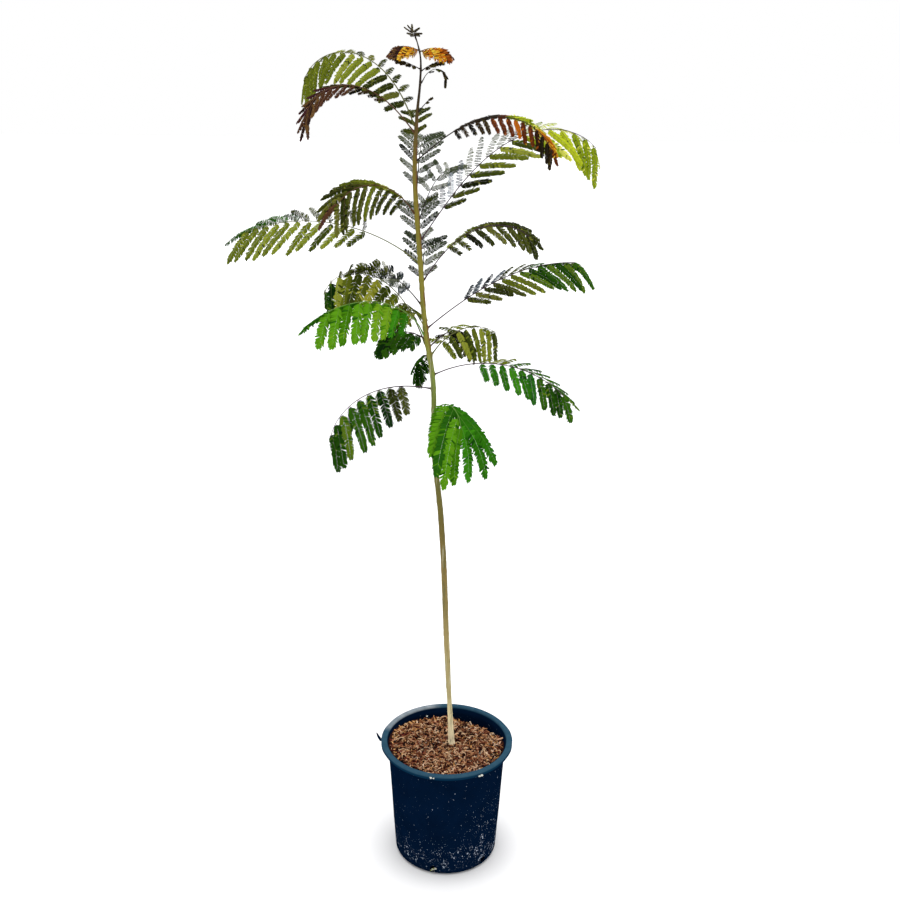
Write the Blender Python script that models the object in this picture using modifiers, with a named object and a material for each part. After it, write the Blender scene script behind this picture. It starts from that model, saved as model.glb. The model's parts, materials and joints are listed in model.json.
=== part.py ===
"""Young persian silk tree in a nursery pot.

A slim leaning stem stands in a filled pot and carries long compound leaves that arch out and hang.
Each leaf, here called a frond, is one solid: a three-sided rib with thin blades in pairs.
Metres, +Z up. The origin is the centre of the pot's flat underside, and -Y is the front.
"""
import math
from dataclasses import dataclass

import bmesh
import bpy
import numpy as np
from mathutils.bvhtree import BVHTree

OBJECT_NAME = "potted_persian_silk_tree"
GAP = 0.0003
SHARP_ANGLE = 35.0

# Pot
POT_HEIGHT = 0.280
LIP_RADIUS = 0.1465
LIP_INNER_RADIUS = 0.1355
LIP_DEPTH = 0.010
LIP_ROUND = 0.0025
LIP_UNDERCUT = 0.0040
GRIP_REACH = 0.0015
GRIP_HALF_ANGLE = 26.0
GRIP_BLEND_ANGLE = 14.0
WALL_TOP_RADIUS = 0.1325
FOOT_RADIUS = 0.1160
CORNER = 0.006
WALL = 0.003
POT_STEPS = 42
DRAIN_HOLES = 6
DRAIN_RADIUS = 0.008
DRAIN_HEIGHT = 0.007
DRAIN_FIRST_ANGLE = 257.0
TAB_REACH = (-0.013, 0.0, 0.018)
TAB_WIDTH = 0.008
TAB_HALF_THICKNESS = (0.0010, 0.0, 0.0007)
TAB_SINK = 0.004

# Potting mix
MIX_HEIGHT = 0.254
MIX_SIDE_RISE = 0.019
MIX_END_RISE = 0.0075
MIX_LEFT_RISE = 0.002
MIX_BACK_DROP = 0.005
MIX_CORNER_DROP = 0.030
MIX_RIPPLE = 0.0015
MIX_WAVES = ((61.0, 1.3), (53.0, -0.4))
MIX_RINGS = 6
MIX_STEPS = 36
FLAT_RADIUS = 0.045

# Stem stations: height, offset to the right, offset to the back, radius
STEM_STATIONS = (
    (0.2543, 0.0105, 0.0170, 0.0092),
    (0.2600, 0.0105, 0.0170, 0.0076),
    (0.2800, 0.0095, 0.0165, 0.0067),
    (0.5200, -0.0028, 0.0120, 0.0063),
    (0.8150, -0.0175, 0.0060, 0.0058),
    (0.9700, -0.0330, 0.0030, 0.0055),
    (1.1250, -0.0370, 0.0020, 0.0052),
    (1.2100, -0.0500, 0.0020, 0.0051),
    (1.3600, -0.0625, 0.0000, 0.0048),
    (1.5450, -0.0730, 0.0030, 0.0042),
    (1.6400, -0.0680, 0.0020, 0.0028),
    (1.6900, -0.0630, 0.0000, 0.0021),
    (1.7350, -0.0630, -0.0010, 0.0015),
    (1.7740, -0.0735, 0.0000, 0.0009),
)
STEM_SPACING = 0.045
SHOOT_HEIGHT = 1.640
SHOOT_SPACING = 0.015

# Fronds
RIB_FOOT = 0.0013
RIB_TIP = 0.0006
RIB_SPACING = 0.028
BLADE_SINK = 0.0006
STAGGER = 0.0035
BLADE_THICKNESS = 0.0012
BLADE_SLENDERNESS = 90.0
SLIM_THICKNESS = 0.6
SHORTEST_BLADE = 0.45
LENGTH_PHASE = (0.08, 0.74)
FAN_BEND = 1.5
RING_SHARES = (0.0, 0.16, 0.76, 1.0)
SHOULDER = 0.86
SAG_STEPS = 12
CLEARANCE = 0.0006
TILTS = (0.0, -14.0, 14.0, -28.0, 28.0)
UP = np.array((0.0, 0.0, 1.0))

COLOURS = {
    "pot": (0.006, 0.016, 0.040),
    "mix": (0.150, 0.066, 0.032),
    "stem": (0.170, 0.140, 0.050),
    "bright": (0.050, 0.240, 0.015),
    "deep": (0.012, 0.100, 0.022),
    "olive": (0.110, 0.135, 0.018),
    "dusk": (0.130, 0.190, 0.150),
    "bronze": (0.090, 0.035, 0.014),
    "amber": (0.420, 0.140, 0.012),
    "lime": (0.320, 0.420, 0.020),
    "dark": (0.030, 0.032, 0.016),
}


@dataclass(frozen=True)
class Blade:
    """Where one blade sits on its rib, and how it leaves it. Angles are in radians."""
    root: np.ndarray
    heading: np.ndarray
    side: np.ndarray
    over: np.ndarray
    fan: float
    lift: float
    sag: float
    length: float


@dataclass(frozen=True)
class Frond:
    """A compound leaf. Lengths are in metres and angles in degrees.

    The compass runs from the right (0) by the back (90) and the left (180) to the front (270).
    The rib leaves the stem at the slope rise and ends at the slope fall; bend above 1 keeps it
    straight for longer. Blades leave the rib at the fan angle, lift above the frond's own plane
    and bend down by sag; each of these has one value at the foot and one at the tip. Roll turns
    the frond about its rib, the front side down. Twist turns the blades that point to the front,
    and those that point to the back, about their midribs until their upper faces lean forward.
    """
    name: str
    height: float
    compass: float
    length: float
    rise: float
    fall: float
    tint: str
    bend: float = 1.5
    bare: float = 0.15
    pairs: int = 9
    blade: float = 0.085
    width: float = 0.018
    roll: float = 0.0
    fan: tuple = (65, 30)
    lift: tuple = (-30, -45)
    sag: tuple = (10, 25)
    twist: tuple = (0, 0)
    slim: float = 1.0


FRONDS = (
    Frond("frond_01_front", 1.055, 301, 0.130, 42, -82, "bright", bare=0.2, pairs=5, blade=0.150,
          width=0.024, fan=(66, 28), lift=(-35, -35), sag=(45, 30), twist=(65, 65)),
    Frond("frond_02_left", 1.100, 195, 0.252, 13, -75, "deep", bend=1.4, bare=0.22, blade=0.098,
          width=0.021, roll=10, fan=(100, 35), lift=(-50, -50), sag=(10, 15), twist=(0, 20)),
    Frond("frond_03_right", 1.130, 345, 0.285, 28, -42, "deep", bend=1.1, bare=0.32, pairs=10,
          blade=0.068, roll=35, lift=(-25, -38), sag=(10, 15)),
    Frond("frond_04_back", 1.165, 120, 0.072, 10, -80, "deep", bend=0.8, pairs=4, blade=0.048,
          width=0.022, lift=(-20, -40), sag=(30, 40)),
    Frond("frond_05_right", 1.170, 35, 0.178, 50, -32, "bright", bend=1, pairs=8, blade=0.076,
          width=0.016, roll=35, fan=(88, 55), lift=(-30, -35), sag=(10, 30)),
    Frond("frond_06_left", 1.204, 178, 0.084, 32, -30, "deep", bend=1, bare=0.05, pairs=6, blade=0.060,
          width=0.021, roll=10, sag=(20, 30), twist=(0, 50)),
    Frond("frond_07_left", 1.192, 152, 0.325, 66, -65, "olive", bend=1.6, bare=0.32, blade=0.080,
          width=0.022, roll=42, fan=(85, 45), lift=(-25, -30), sag=(10, 20), twist=(0, 60)),
    Frond("frond_08_left", 1.212, 215, 0.252, 68, -20, "bright", bend=0.72, bare=0.22, blade=0.090,
          width=0.021, roll=20, fan=(80, 42), lift=(-40, -40), sag=(10, 20)),
    Frond("frond_09_right", 1.225, 20, 0.345, 36, -4, "deep", bare=0.25, pairs=13, blade=0.088,
          width=0.015, roll=30, fan=(42, 36), lift=(-10, -45), sag=(10, 30)),
    Frond("frond_10_back", 1.225, 112, 0.225, 24, -50, "olive", bare=0.2, pairs=8, blade=0.070,
          width=0.020),
    Frond("frond_11_back", 1.185, 55, 0.170, 25, -60, "deep", bare=0.25, pairs=8, blade=0.055),
    Frond("frond_12_back", 1.305, 88, 0.125, 60, 5, "olive", bare=0.12, pairs=5, blade=0.060,
          width=0.013, roll=8, fan=(60, 38), lift=(25, 20), sag=(5, 15), twist=(45, 45)),
    Frond("frond_13_right", 1.322, 345, 0.256, 57, -36, "olive", bend=1.8, bare=0.28, blade=0.060,
          width=0.015, roll=30, fan=(58, 24), lift=(-20, -25), sag=(20, 25), twist=(0, 75)),
    Frond("frond_14_left", 1.356, 170, 0.370, 38, -22, "olive", bend=0.95, bare=0.3, pairs=12,
          blade=0.092, width=0.017, roll=32, lift=(-5, -25), sag=(10, 20), twist=(0, 60)),
    Frond("frond_15_right", 1.400, 10, 0.438, 55, -46, "lime", bend=2.4, bare=0.14, pairs=15,
          blade=0.096, width=0.016, roll=32, fan=(42, 48), lift=(5, -35), sag=(10, 30), twist=(0, 30)),
    Frond("frond_16_back", 1.375, 92, 0.125, 62, 8, "dusk", bare=0.12, pairs=5, blade=0.058,
          width=0.013, roll=8, fan=(60, 38), lift=(25, 20), sag=(5, 15), twist=(45, 45)),
    Frond("frond_17_back", 1.272, 150, 0.165, 45, -14, "dusk", bare=0.25, pairs=8, blade=0.055,
          width=0.011, fan=(50, 25), lift=(-10, -10), twist=(50, 60)),
    Frond("frond_18_left", 1.450, 218, 0.205, 53, -49, "olive", bend=1.25, pairs=10, blade=0.078,
          width=0.015, roll=45, lift=(-28, -38), sag=(25, 40), twist=(0, 60)),
    Frond("frond_19_back", 1.432, 62, 0.165, 58, 2, "dusk", bare=0.2, pairs=5, blade=0.052, width=0.012,
          roll=8, fan=(60, 38), lift=(25, 20), sag=(5, 15), twist=(45, 45)),
    Frond("frond_20_back", 1.470, 86, 0.185, 62, 5, "dusk", pairs=7, blade=0.060, width=0.013, roll=8,
          fan=(60, 38), lift=(25, 20), sag=(5, 15), twist=(45, 45)),
    Frond("frond_21_right", 1.548, 335, 0.316, 39, -65, "amber", bend=2, bare=0.28, pairs=15,
          blade=0.043, width=0.012, roll=35, fan=(60, 30), lift=(-15, -25), sag=(20, 25),
          twist=(20, 50)),
    Frond("frond_22_back", 1.578, 92, 0.105, 58, 10, "deep", bend=1, pairs=4, blade=0.042, width=0.010,
          roll=8, lift=(20, 10), sag=(10, 20), twist=(30, 30)),
    Frond("frond_23_left", 1.600, 205, 0.272, 50, -79, "bronze", bend=1.8, bare=0.3, pairs=13,
          blade=0.050, width=0.011, roll=18, fan=(45, 20), lift=(-14, -20), sag=(10, 10),
          twist=(0, 40)),
    Frond("frond_24_left", 1.612, 160, 0.309, 67.5, -62.5, "olive", bend=1.62, bare=0.12, pairs=14,
          blade=0.070, width=0.015, roll=40, fan=(66, 28), lift=(-22, -34), sag=(30, 30),
          twist=(0, 40)),
    Frond("young_25_right", 1.637, 325, 0.034, 45, 38, "dark", bare=0.55, pairs=2, blade=0.012,
          width=0.006, fan=(25, 15), sag=(5, 5), slim=0.8),
    Frond("young_26_right", 1.688, 340, 0.076, 66, -95, "dark", bare=0.25, pairs=4, blade=0.020,
          width=0.007, fan=(55, 25), lift=(-10, -30), slim=0.6),
    Frond("young_27_right", 1.709, 20, 0.040, 36, 5, "dark", bare=0.1, pairs=4, blade=0.012,
          width=0.010, fan=(35, 15), slim=0.6),
    Frond("young_28_left", 1.712, 175, 0.040, 28, 10, "dark", bare=0.1, pairs=4, blade=0.012,
          width=0.010, fan=(35, 15), slim=0.6),
    Frond("young_29_right", 1.742, 350, 0.045, 26, -18, "amber", bend=1.1, bare=0, pairs=7, blade=0.035,
          width=0.013, roll=15, fan=(70, 35), lift=(-28, -36), sag=(10, 20), twist=(30, 60), slim=0.6),
    Frond("young_30_left", 1.744, 185, 0.042, 28, -16, "bronze", bend=1.1, bare=0, pairs=7, blade=0.035,
          width=0.013, roll=15, fan=(70, 35), lift=(-28, -36), sag=(10, 20), twist=(30, 60), slim=0.6),
    Frond("young_31_tip", 1.764, 125, 0.016, 52, 52, "dark", bare=0.5, pairs=4, blade=0.021,
          width=0.006, fan=(110, 20), lift=(10, 10), sag=(0, 5), slim=0.5),
)


def clear_scene():
    """Removes whatever the open file holds."""
    for item in list(bpy.data.objects):
        bpy.data.objects.remove(item, do_unlink=True)


def new_collection(name):
    """Adds an empty collection to the scene."""
    made = bpy.data.collections.new(name)
    bpy.context.scene.collection.children.link(made)
    return made


def plain_material(name, colour, roughness):
    """Makes a Principled material of one colour."""
    material = bpy.data.materials.new(name)
    material.use_nodes = True
    shader = material.node_tree.nodes["Principled BSDF"]
    shader.inputs["Base Color"].default_value = (*colour, 1.0)
    shader.inputs["Roughness"].default_value = roughness
    shader.inputs["Metallic"].default_value = 0.0
    return material


def add_object(name, mesh, collection):
    """Links a mesh into a collection as an object."""
    made = bpy.data.objects.new(name, mesh)
    collection.objects.link(made)
    return made


def applied_copy(source, name, collection):
    """Replaces an object by a plain mesh of its evaluated shape, with its caps welded."""
    graph = bpy.context.evaluated_depsgraph_get()
    mesh = bpy.data.meshes.new_from_object(source.evaluated_get(graph))
    work = bmesh.new()
    work.from_mesh(mesh)
    bmesh.ops.remove_doubles(work, verts=work.verts, dist=1e-6)
    work.to_mesh(mesh)
    work.free()
    made = add_object(name, mesh, collection)
    made.matrix_world = source.matrix_world.copy()
    bpy.data.objects.remove(source, do_unlink=True)
    return made


def unit(vector):
    """Scales a vector to length one."""
    return vector / np.linalg.norm(vector)


def smooth_curve(at, knots, values):
    """Cubic Hermite curve through the values, with the slopes of their neighbours."""
    at, knots, values = np.atleast_1d(at), np.asarray(knots), np.asarray(values)
    slopes = np.gradient(values, knots)
    k = np.clip(np.searchsorted(knots, at, side="right") - 1, 0, len(knots) - 2)
    span = knots[k + 1] - knots[k]
    t = np.clip((at - knots[k]) / span, 0.0, 1.0)
    start = (2 * t**3 - 3 * t**2 + 1) * values[k] + (t**3 - 2 * t**2 + t) * span * slopes[k]
    end = (3 * t**2 - 2 * t**3) * values[k + 1] + (t**3 - t**2) * span * slopes[k + 1]
    return start + end


def stem_rings():
    """Heights, centres and radii of the stem's rings: at its flare, then evenly, closer on the shoot."""
    rows = np.array(STEM_STATIONS)
    heights = list(rows[:3, 0])
    for end, spacing in ((SHOOT_HEIGHT, STEM_SPACING), (rows[-1, 0], SHOOT_SPACING)):
        count = round((end - heights[-1]) / spacing)
        heights += list(np.linspace(heights[-1], end, count + 1)[1:])
    right, back, radii = (smooth_curve(heights, rows[:, 0], rows[:, i]) for i in (1, 2, 3))
    return np.array(heights), np.column_stack((right, back, heights)), radii


def stem_at(height):
    """Centre and radius of the stem at a height, read off the straight runs between its rings."""
    heights, centres, radii = stem_rings()
    centre = np.array([np.interp(height, heights, centres[:, k]) for k in range(3)])
    return centre, np.interp(height, heights, radii)


def mix_height(x, y):
    """Height of the potting mix: a dish that climbs to the wall, less behind, level round the stem."""
    foot = np.array(STEM_STATIONS[0][1:3])
    away = math.hypot(x - foot[0], y - foot[1])
    blend = min(1.0, max(0.0, (away - FLAT_RADIUS) / (0.5 * FLAT_RADIUS)))
    right, back = x / WALL_TOP_RADIUS, y / WALL_TOP_RADIUS
    dish = MIX_SIDE_RISE * right**2 + MIX_END_RISE * back**2 - MIX_LEFT_RISE * right
    behind = max(back, 0.0)
    dish -= behind * (MIX_BACK_DROP * behind + MIX_CORNER_DROP * max(right, 0.0))
    across, along = (count * value + phase for (count, phase), value in zip(MIX_WAVES, (x, y)))
    ripple = MIX_RIPPLE * math.sin(across) * math.cos(along)
    return MIX_HEIGHT + blend * (dish + ripple)


def loft(rings, name):
    """Skins rings of equal count, outwards for rings that run anticlockwise; ends are closed."""
    mesh = bpy.data.meshes.new(name)
    points = np.concatenate([np.atleast_2d(ring) for ring in rings])
    faces = []
    first = 0
    for ring, following in zip(rings, rings[1:]):
        count, ahead = len(np.atleast_2d(ring)), len(np.atleast_2d(following))
        base = first + count
        for i in range(max(count, ahead)):
            j = (i + 1) % max(count, ahead)
            if count == 1:
                faces.append((first, base + j, base + i))
            elif ahead == 1:
                faces.append((first + i, first + j, base))
            else:
                faces.append((first + i, first + j, base + j, base + i))
        first = base
    start = len(np.atleast_2d(rings[0]))
    if start > 1:
        faces.append(tuple(reversed(range(start))))
    if len(np.atleast_2d(rings[-1])) > 1:
        faces.append(tuple(range(first, len(points))))
    mesh.from_pydata([tuple(p) for p in points], [], faces)
    mesh.update()
    return mesh


def build_pot(parts, tools):
    """Turned pot with a rolled lip, two grips, a small tab and drain holes at its foot."""
    slope = (WALL_TOP_RADIUS - FOOT_RADIUS) / (POT_HEIGHT - LIP_DEPTH - CORNER)
    lip_foot = POT_HEIGHT - LIP_DEPTH
    profile = (
        (LIP_INNER_RADIUS, POT_HEIGHT - 0.5 * LIP_ROUND),
        (LIP_INNER_RADIUS + 0.5 * LIP_ROUND, POT_HEIGHT),
        (LIP_RADIUS - LIP_ROUND, POT_HEIGHT),
        (LIP_RADIUS, POT_HEIGHT - LIP_ROUND),
        (LIP_RADIUS, lip_foot),
        (LIP_RADIUS - LIP_ROUND, lip_foot),
        (WALL_TOP_RADIUS + LIP_UNDERCUT, lip_foot + LIP_UNDERCUT),
        (WALL_TOP_RADIUS, lip_foot - 0.5 * LIP_UNDERCUT),
        (FOOT_RADIUS, CORNER),
        (FOOT_RADIUS - 0.3 * CORNER, 0.3 * CORNER),
        (FOOT_RADIUS - CORNER, 0.0),
        (0.0, 0.0),
        (0.0, WALL),
        (FOOT_RADIUS - CORNER, WALL),
        (FOOT_RADIUS - WALL, WALL + 0.5 * CORNER),
        (FOOT_RADIUS - WALL + slope * (lip_foot - WALL - CORNER), lip_foot - LIP_UNDERCUT),
    )
    axis = profile.index((0.0, 0.0))
    mesh = bpy.data.meshes.new("pot_profile")
    edges = [(i, (i + 1) % len(profile)) for i in range(len(profile)) if i != axis]
    mesh.from_pydata([(r, 0.0, z) for r, z in profile], edges, [])
    turned = add_object("pot_turned", mesh, tools)
    screw = turned.modifiers.new("turn", "SCREW")
    screw.steps = POT_STEPS
    screw.render_steps = POT_STEPS
    screw.use_merge_vertices = True
    screw.merge_threshold = 0.00005
    pot = applied_copy(turned, "pot", parts)

    for vertex in pot.data.vertices:
        radius = math.hypot(vertex.co.x, vertex.co.y)
        off = math.degrees(math.atan2(abs(vertex.co.y), abs(vertex.co.x)))
        if radius > LIP_RADIUS - 1.2 * LIP_ROUND and vertex.co.z > lip_foot - GAP:
            swell = min(1.0, max(0.0, (GRIP_HALF_ANGLE - off) / GRIP_BLEND_ANGLE))
            vertex.co.x *= 1.0 + swell * GRIP_REACH / radius
            vertex.co.y *= 1.0 + swell * GRIP_REACH / radius

    cutters = []
    for i in range(DRAIN_HOLES):
        angle = math.radians(DRAIN_FIRST_ANGLE + i * 360.0 / DRAIN_HOLES)
        bpy.ops.mesh.primitive_cylinder_add(vertices=10, radius=DRAIN_RADIUS, depth=0.030)
        cutter = bpy.context.object
        cutter.name = f"drain_cutter_{i + 1}"
        cutter.rotation_euler = (0.0, math.radians(90.0), angle)
        reach = FOOT_RADIUS + WALL
        cutter.location = (reach * math.cos(angle), reach * math.sin(angle), DRAIN_HEIGHT + DRAIN_RADIUS)
        cutters.append(cutter)
    add_boolean(pot, cutters, "DIFFERENCE", "drain_cutters")

    root = np.array((TAB_SINK - LIP_RADIUS - GRIP_REACH, 0.0, POT_HEIGHT - 0.5 * LIP_DEPTH))
    side = np.array((0.0, 0.5 * TAB_WIDTH, 0.0))
    thick = np.array(TAB_HALF_THICKNESS)
    ring = np.array((root - side - thick, root + side - thick, root + side + thick, root - side + thick))
    tab = add_object("tab", loft([ring, root + np.array(TAB_REACH)], "tab"), tools)
    outward(tab)
    add_boolean(pot, [tab], "UNION", "pot_tab")
    return pot


def build_mix(parts, tools):
    """Turned fill of potting mix that follows the pot's inside, with an uneven top."""
    foot = FOOT_RADIUS - WALL - GAP
    slope = (WALL_TOP_RADIUS - FOOT_RADIUS) / (POT_HEIGHT - LIP_DEPTH - CORNER)
    lowest = MIX_HEIGHT - MIX_RIPPLE - 0.5 * MIX_CORNER_DROP
    top = foot + slope * (lowest - WALL - CORNER) - GAP
    profile = [(top * i / MIX_RINGS, MIX_HEIGHT) for i in range(MIX_RINGS + 1)]
    profile += [(foot, WALL + CORNER), (foot - 0.5 * CORNER, WALL + GAP), (0.0, WALL + GAP)]
    mesh = bpy.data.meshes.new("mix_profile")
    mesh.from_pydata([(r, 0.0, z) for r, z in profile], [(i, i + 1) for i in range(len(profile) - 1)], [])
    turned = add_object("mix_turned", mesh, tools)
    screw = turned.modifiers.new("turn", "SCREW")
    screw.steps = MIX_STEPS
    screw.render_steps = MIX_STEPS
    screw.use_merge_vertices = True
    screw.merge_threshold = 0.00005
    mix = applied_copy(turned, "potting_mix", parts)
    for vertex in mix.data.vertices:
        if vertex.co.z > MIX_HEIGHT - 0.001:
            vertex.co.z = mix_height(vertex.co.x, vertex.co.y)
    return mix


def build_stem(parts, tools):
    """Tapering stem on a smooth line from its flat foot, which flares, to the curled tip."""
    heights, centres, radii = stem_rings()
    data = bpy.data.curves.new("stem_line", "CURVE")
    data.dimensions = "3D"
    data.bevel_depth = 1.0
    data.bevel_resolution = 2
    data.use_fill_caps = True
    line = data.splines.new("POLY")
    line.points.add(len(heights) - 1)
    for point, centre, radius in zip(line.points, centres, radii):
        point.co = (*centre, 1.0)
        point.radius = radius
    curve = add_object("stem_line", data, tools)
    stem = applied_copy(curve, "stem", parts)
    for vertex in stem.data.vertices:
        if vertex.co.z < 0.5 * (heights[0] + heights[1]):
            vertex.co.z = heights[0]
    return stem


def outward(item):
    """Turns an object's faces outwards."""
    work = bmesh.new()
    work.from_mesh(item.data)
    bmesh.ops.recalc_face_normals(work, faces=work.faces)
    work.to_mesh(item.data)
    work.free()


def add_boolean(target, others, operation, group_name, solver="EXACT"):
    """Applies one Boolean of a whole collection to an object and removes the collection."""
    group = new_collection(group_name)
    for item in others:
        for owner in list(item.users_collection):
            owner.objects.unlink(item)
        group.objects.link(item)
    modifier = target.modifiers.new(group_name, "BOOLEAN")
    modifier.operation = operation
    modifier.operand_type = "COLLECTION"
    modifier.collection = group
    modifier.solver = solver
    graph = bpy.context.evaluated_depsgraph_get()
    mesh = bpy.data.meshes.new_from_object(target.evaluated_get(graph))
    target.modifiers.clear()
    target.data = mesh
    for item in list(group.objects):
        bpy.data.objects.remove(item, do_unlink=True)
    bpy.data.collections.remove(group)


def keep_main_shell(item):
    """Keeps an object's largest connected shell: sealed hollows are filled and scraps dropped."""
    work = bmesh.new()
    work.from_mesh(item.data)
    left, shells = set(work.faces), []
    while left:
        shell, edge = set(), [left.pop()]
        while edge:
            face = edge.pop()
            shell.add(face)
            near = {other for line in face.edges for other in line.link_faces if other in left}
            left -= near
            edge.extend(near)
        shells.append(shell)
    main = max(shells, key=len)
    scraps = [face for shell in shells if shell is not main for face in shell]
    bmesh.ops.delete(work, geom=scraps, context="FACES")
    work.to_mesh(item.data)
    work.free()


def side_of(frond):
    """Level direction across a frond's rib, which stays in one upright plane."""
    compass = math.radians(frond.compass)
    return np.array((math.sin(compass), -math.cos(compass), 0.0))


def rib_line(frond):
    """Points, directions and radii of a frond's rib, from its foot to its tip."""
    centre, stem_radius = stem_at(frond.height)
    count = max(4, round(frond.length / RIB_SPACING))
    share = np.linspace(0.0, 1.0, count + 1)
    slope = np.radians(frond.rise + (frond.fall - frond.rise) * share**frond.bend)
    compass = math.radians(frond.compass)
    outwards = np.array((math.cos(compass), math.sin(compass), 0.0))
    headings = np.cos(slope)[:, None] * outwards + np.sin(slope)[:, None] * UP
    steps = 0.5 * (headings[1:] + headings[:-1]) * frond.length / count
    radii = frond.slim * (RIB_FOOT + (RIB_TIP - RIB_FOOT) * share)
    seat = stem_radius + GAP + radii[0] * math.sin(math.radians(abs(frond.rise)))
    points = centre + seat * outwards + np.vstack((np.zeros(3), np.cumsum(steps, axis=0)))
    return points, headings, radii


def rib_mesh(frond, extra=0.0):
    """Three-sided tapering rib, with extra thickness all round where asked."""
    side = side_of(frond)
    turns = np.radians((330.0, 210.0, 90.0))[:, None]
    rings = []
    for point, heading, radius in zip(*rib_line(frond)):
        spread = np.cos(turns) * side + np.sin(turns) * np.cross(side, heading)
        rings.append(point + (radius + extra) * spread)
    return loft(rings, frond.name)


def blades_of(frond):
    """Every blade of a frond, pair by pair; the two hands sit a little apart along the rib."""
    points, headings, _ = rib_line(frond)
    share = np.linspace(0.0, 1.0, len(points))
    level = side_of(frond)
    roll = math.radians(frond.roll) * (-1.0 if level[1] > 0 else 1.0)
    made = []
    for i in range(frond.pairs):
        along = i / (frond.pairs - 1)
        at = frond.bare + (1.0 - frond.bare) * (i + 0.35) / (frond.pairs - 0.3)
        root = np.array([np.interp(at, share, points[:, k]) for k in range(3)])
        heading = unit(np.array([np.interp(at, share, headings[:, k]) for k in range(3)]))
        upright = np.cross(level, heading)
        side = math.cos(roll) * level - math.sin(roll) * upright
        over = math.cos(roll) * upright + math.sin(roll) * level
        fan = math.radians(frond.fan[0] + (frond.fan[1] - frond.fan[0]) * along**FAN_BEND)
        lift = math.radians(frond.lift[0] + (frond.lift[1] - frond.lift[0]) * along)
        sag = math.radians(frond.sag[0] + (frond.sag[1] - frond.sag[0]) * along)
        wave = math.sin(math.pi * (LENGTH_PHASE[0] + (LENGTH_PHASE[1] - LENGTH_PHASE[0]) * along))
        length = frond.blade * (SHORTEST_BLADE + (1.0 - SHORTEST_BLADE) * wave)
        for hand in (-1.0, 1.0):
            seat = root + 0.5 * hand * STAGGER * frond.slim * heading
            made.append(Blade(seat, heading, hand * side, over, fan, lift, sag, length))
    return made


def blade_line(blade, tilt):
    """Points of a blade's midrib: it starts along the fan and lift angles and sags evenly."""
    lift = blade.lift + math.radians(tilt)
    outwards = math.cos(lift) * blade.side + math.sin(lift) * blade.over
    start = math.cos(blade.fan) * blade.heading + math.sin(blade.fan) * outwards
    downwards = math.acos(max(-1.0, min(1.0, -start[2])))
    axis = unit(np.cross(start, -UP))
    turns = np.minimum(blade.sag * (np.arange(SAG_STEPS) + 0.5) / SAG_STEPS, 0.9 * downwards)[:, None]
    ways = np.cos(turns) * start + np.sin(turns) * np.cross(axis, start)
    points = np.vstack((blade.root, blade.root + np.cumsum(ways, axis=0) * blade.length / SAG_STEPS))
    walk = np.linspace(0.0, 1.0, SAG_STEPS + 1)
    return np.array([[np.interp(share, walk, points[:, k]) for k in range(3)] for share in RING_SHARES])


def blade_mesh(frond, blade, tilt, extra=0.0):
    """Thin blade with a raised midrib: narrow root, oblong middle and pointed tip."""
    line = blade_line(blade, tilt)
    way = unit(line[-1] - line[0])
    across = unit(blade.heading - (blade.heading @ way) * way)
    face = np.cross(way, across)
    face = face if face[2] >= 0 else -face
    twist = math.radians(frond.twist[0 if blade.side[1] < 0 else 1])
    lean = math.sin(twist) * (-1.0 if across[1] > 0 else 1.0)
    across, face = math.cos(twist) * across - lean * face, math.cos(twist) * face + lean * across
    half = 0.5 * frond.width
    thick = max(BLADE_THICKNESS, blade.length / BLADE_SLENDERNESS)
    thick *= SLIM_THICKNESS if frond.slim < 1.0 else 1.0
    rings = [line[0] - BLADE_SINK * frond.slim * unit(line[1] - line[0])]
    for point, reach in ((line[1], SHOULDER * half + extra), (line[2], half + extra)):
        rings.append(np.array((point + across * reach - face * extra, point + face * (thick + extra),
                               point - across * reach - face * extra)))
    return loft(rings + [line[3]], "blade")


def tree_of(meshes):
    """One search tree over the faces of several meshes."""
    points, faces = [], []
    for mesh in meshes:
        base = len(points)
        points += [tuple(v.co) for v in mesh.vertices]
        faces += [tuple(base + i for i in p.vertices) for p in mesh.polygons]
    return BVHTree.FromPolygons(points, faces)


def build_fronds(parts, tools, stem):
    """Builds each frond in its own space: a blade that would touch another is tilted or left out."""
    ribs = {frond.name: tree_of([rib_mesh(frond, CLEARANCE)]) for frond in FRONDS}
    trunk = tree_of([stem.data])
    finished = []
    for frond in FRONDS:
        blades, guards = [], []
        others = [tree for name, tree in ribs.items() if name != frond.name] + [trunk] + finished
        for blade in blades_of(frond):
            for tilt in TILTS:
                guard = blade_mesh(frond, blade, tilt, CLEARANCE)
                tree = tree_of([guard])
                if not any(tree.overlap(other) for other in others):
                    guards.append(guard)
                    blades.append(add_object("blade", blade_mesh(frond, blade, tilt), tools))
                    break
        finished.append(tree_of(guards))
        rib = add_object(frond.name, rib_mesh(frond), parts)
        for item in [rib] + blades:
            outward(item)
        add_boolean(rib, blades, "UNION", "blades", "MANIFOLD")
        keep_main_shell(rib)
        print(f"{frond.name}: {len(blades)} of {2 * frond.pairs} blades, {len(rib.data.polygons)} faces")


def finish(item, colour, roughness):
    """Gives an object its material."""
    item.data.materials.clear()
    item.data.materials.append(plain_material(item.name, COLOURS[colour], roughness))


def shade_round(item):
    """Shades a round piece smooth, except over its sharp edges."""
    item.data.shade_smooth()
    item.data.set_sharp_from_angle(angle=math.radians(SHARP_ANGLE))


def main():
    """Builds the whole plant."""
    clear_scene()
    parts = new_collection(OBJECT_NAME)
    tools = new_collection("guides")
    pot = build_pot(parts, tools)
    mix = build_mix(parts, tools)
    stem = build_stem(parts, tools)
    build_fronds(parts, tools, stem)
    finish(pot, "pot", 0.45)
    finish(mix, "mix", 0.95)
    finish(stem, "stem", 0.70)
    shade_round(pot)
    shade_round(stem)
    for frond in FRONDS:
        finish(bpy.data.objects[frond.name], frond.tint, 0.55)
    bpy.data.collections.remove(tools)


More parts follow.
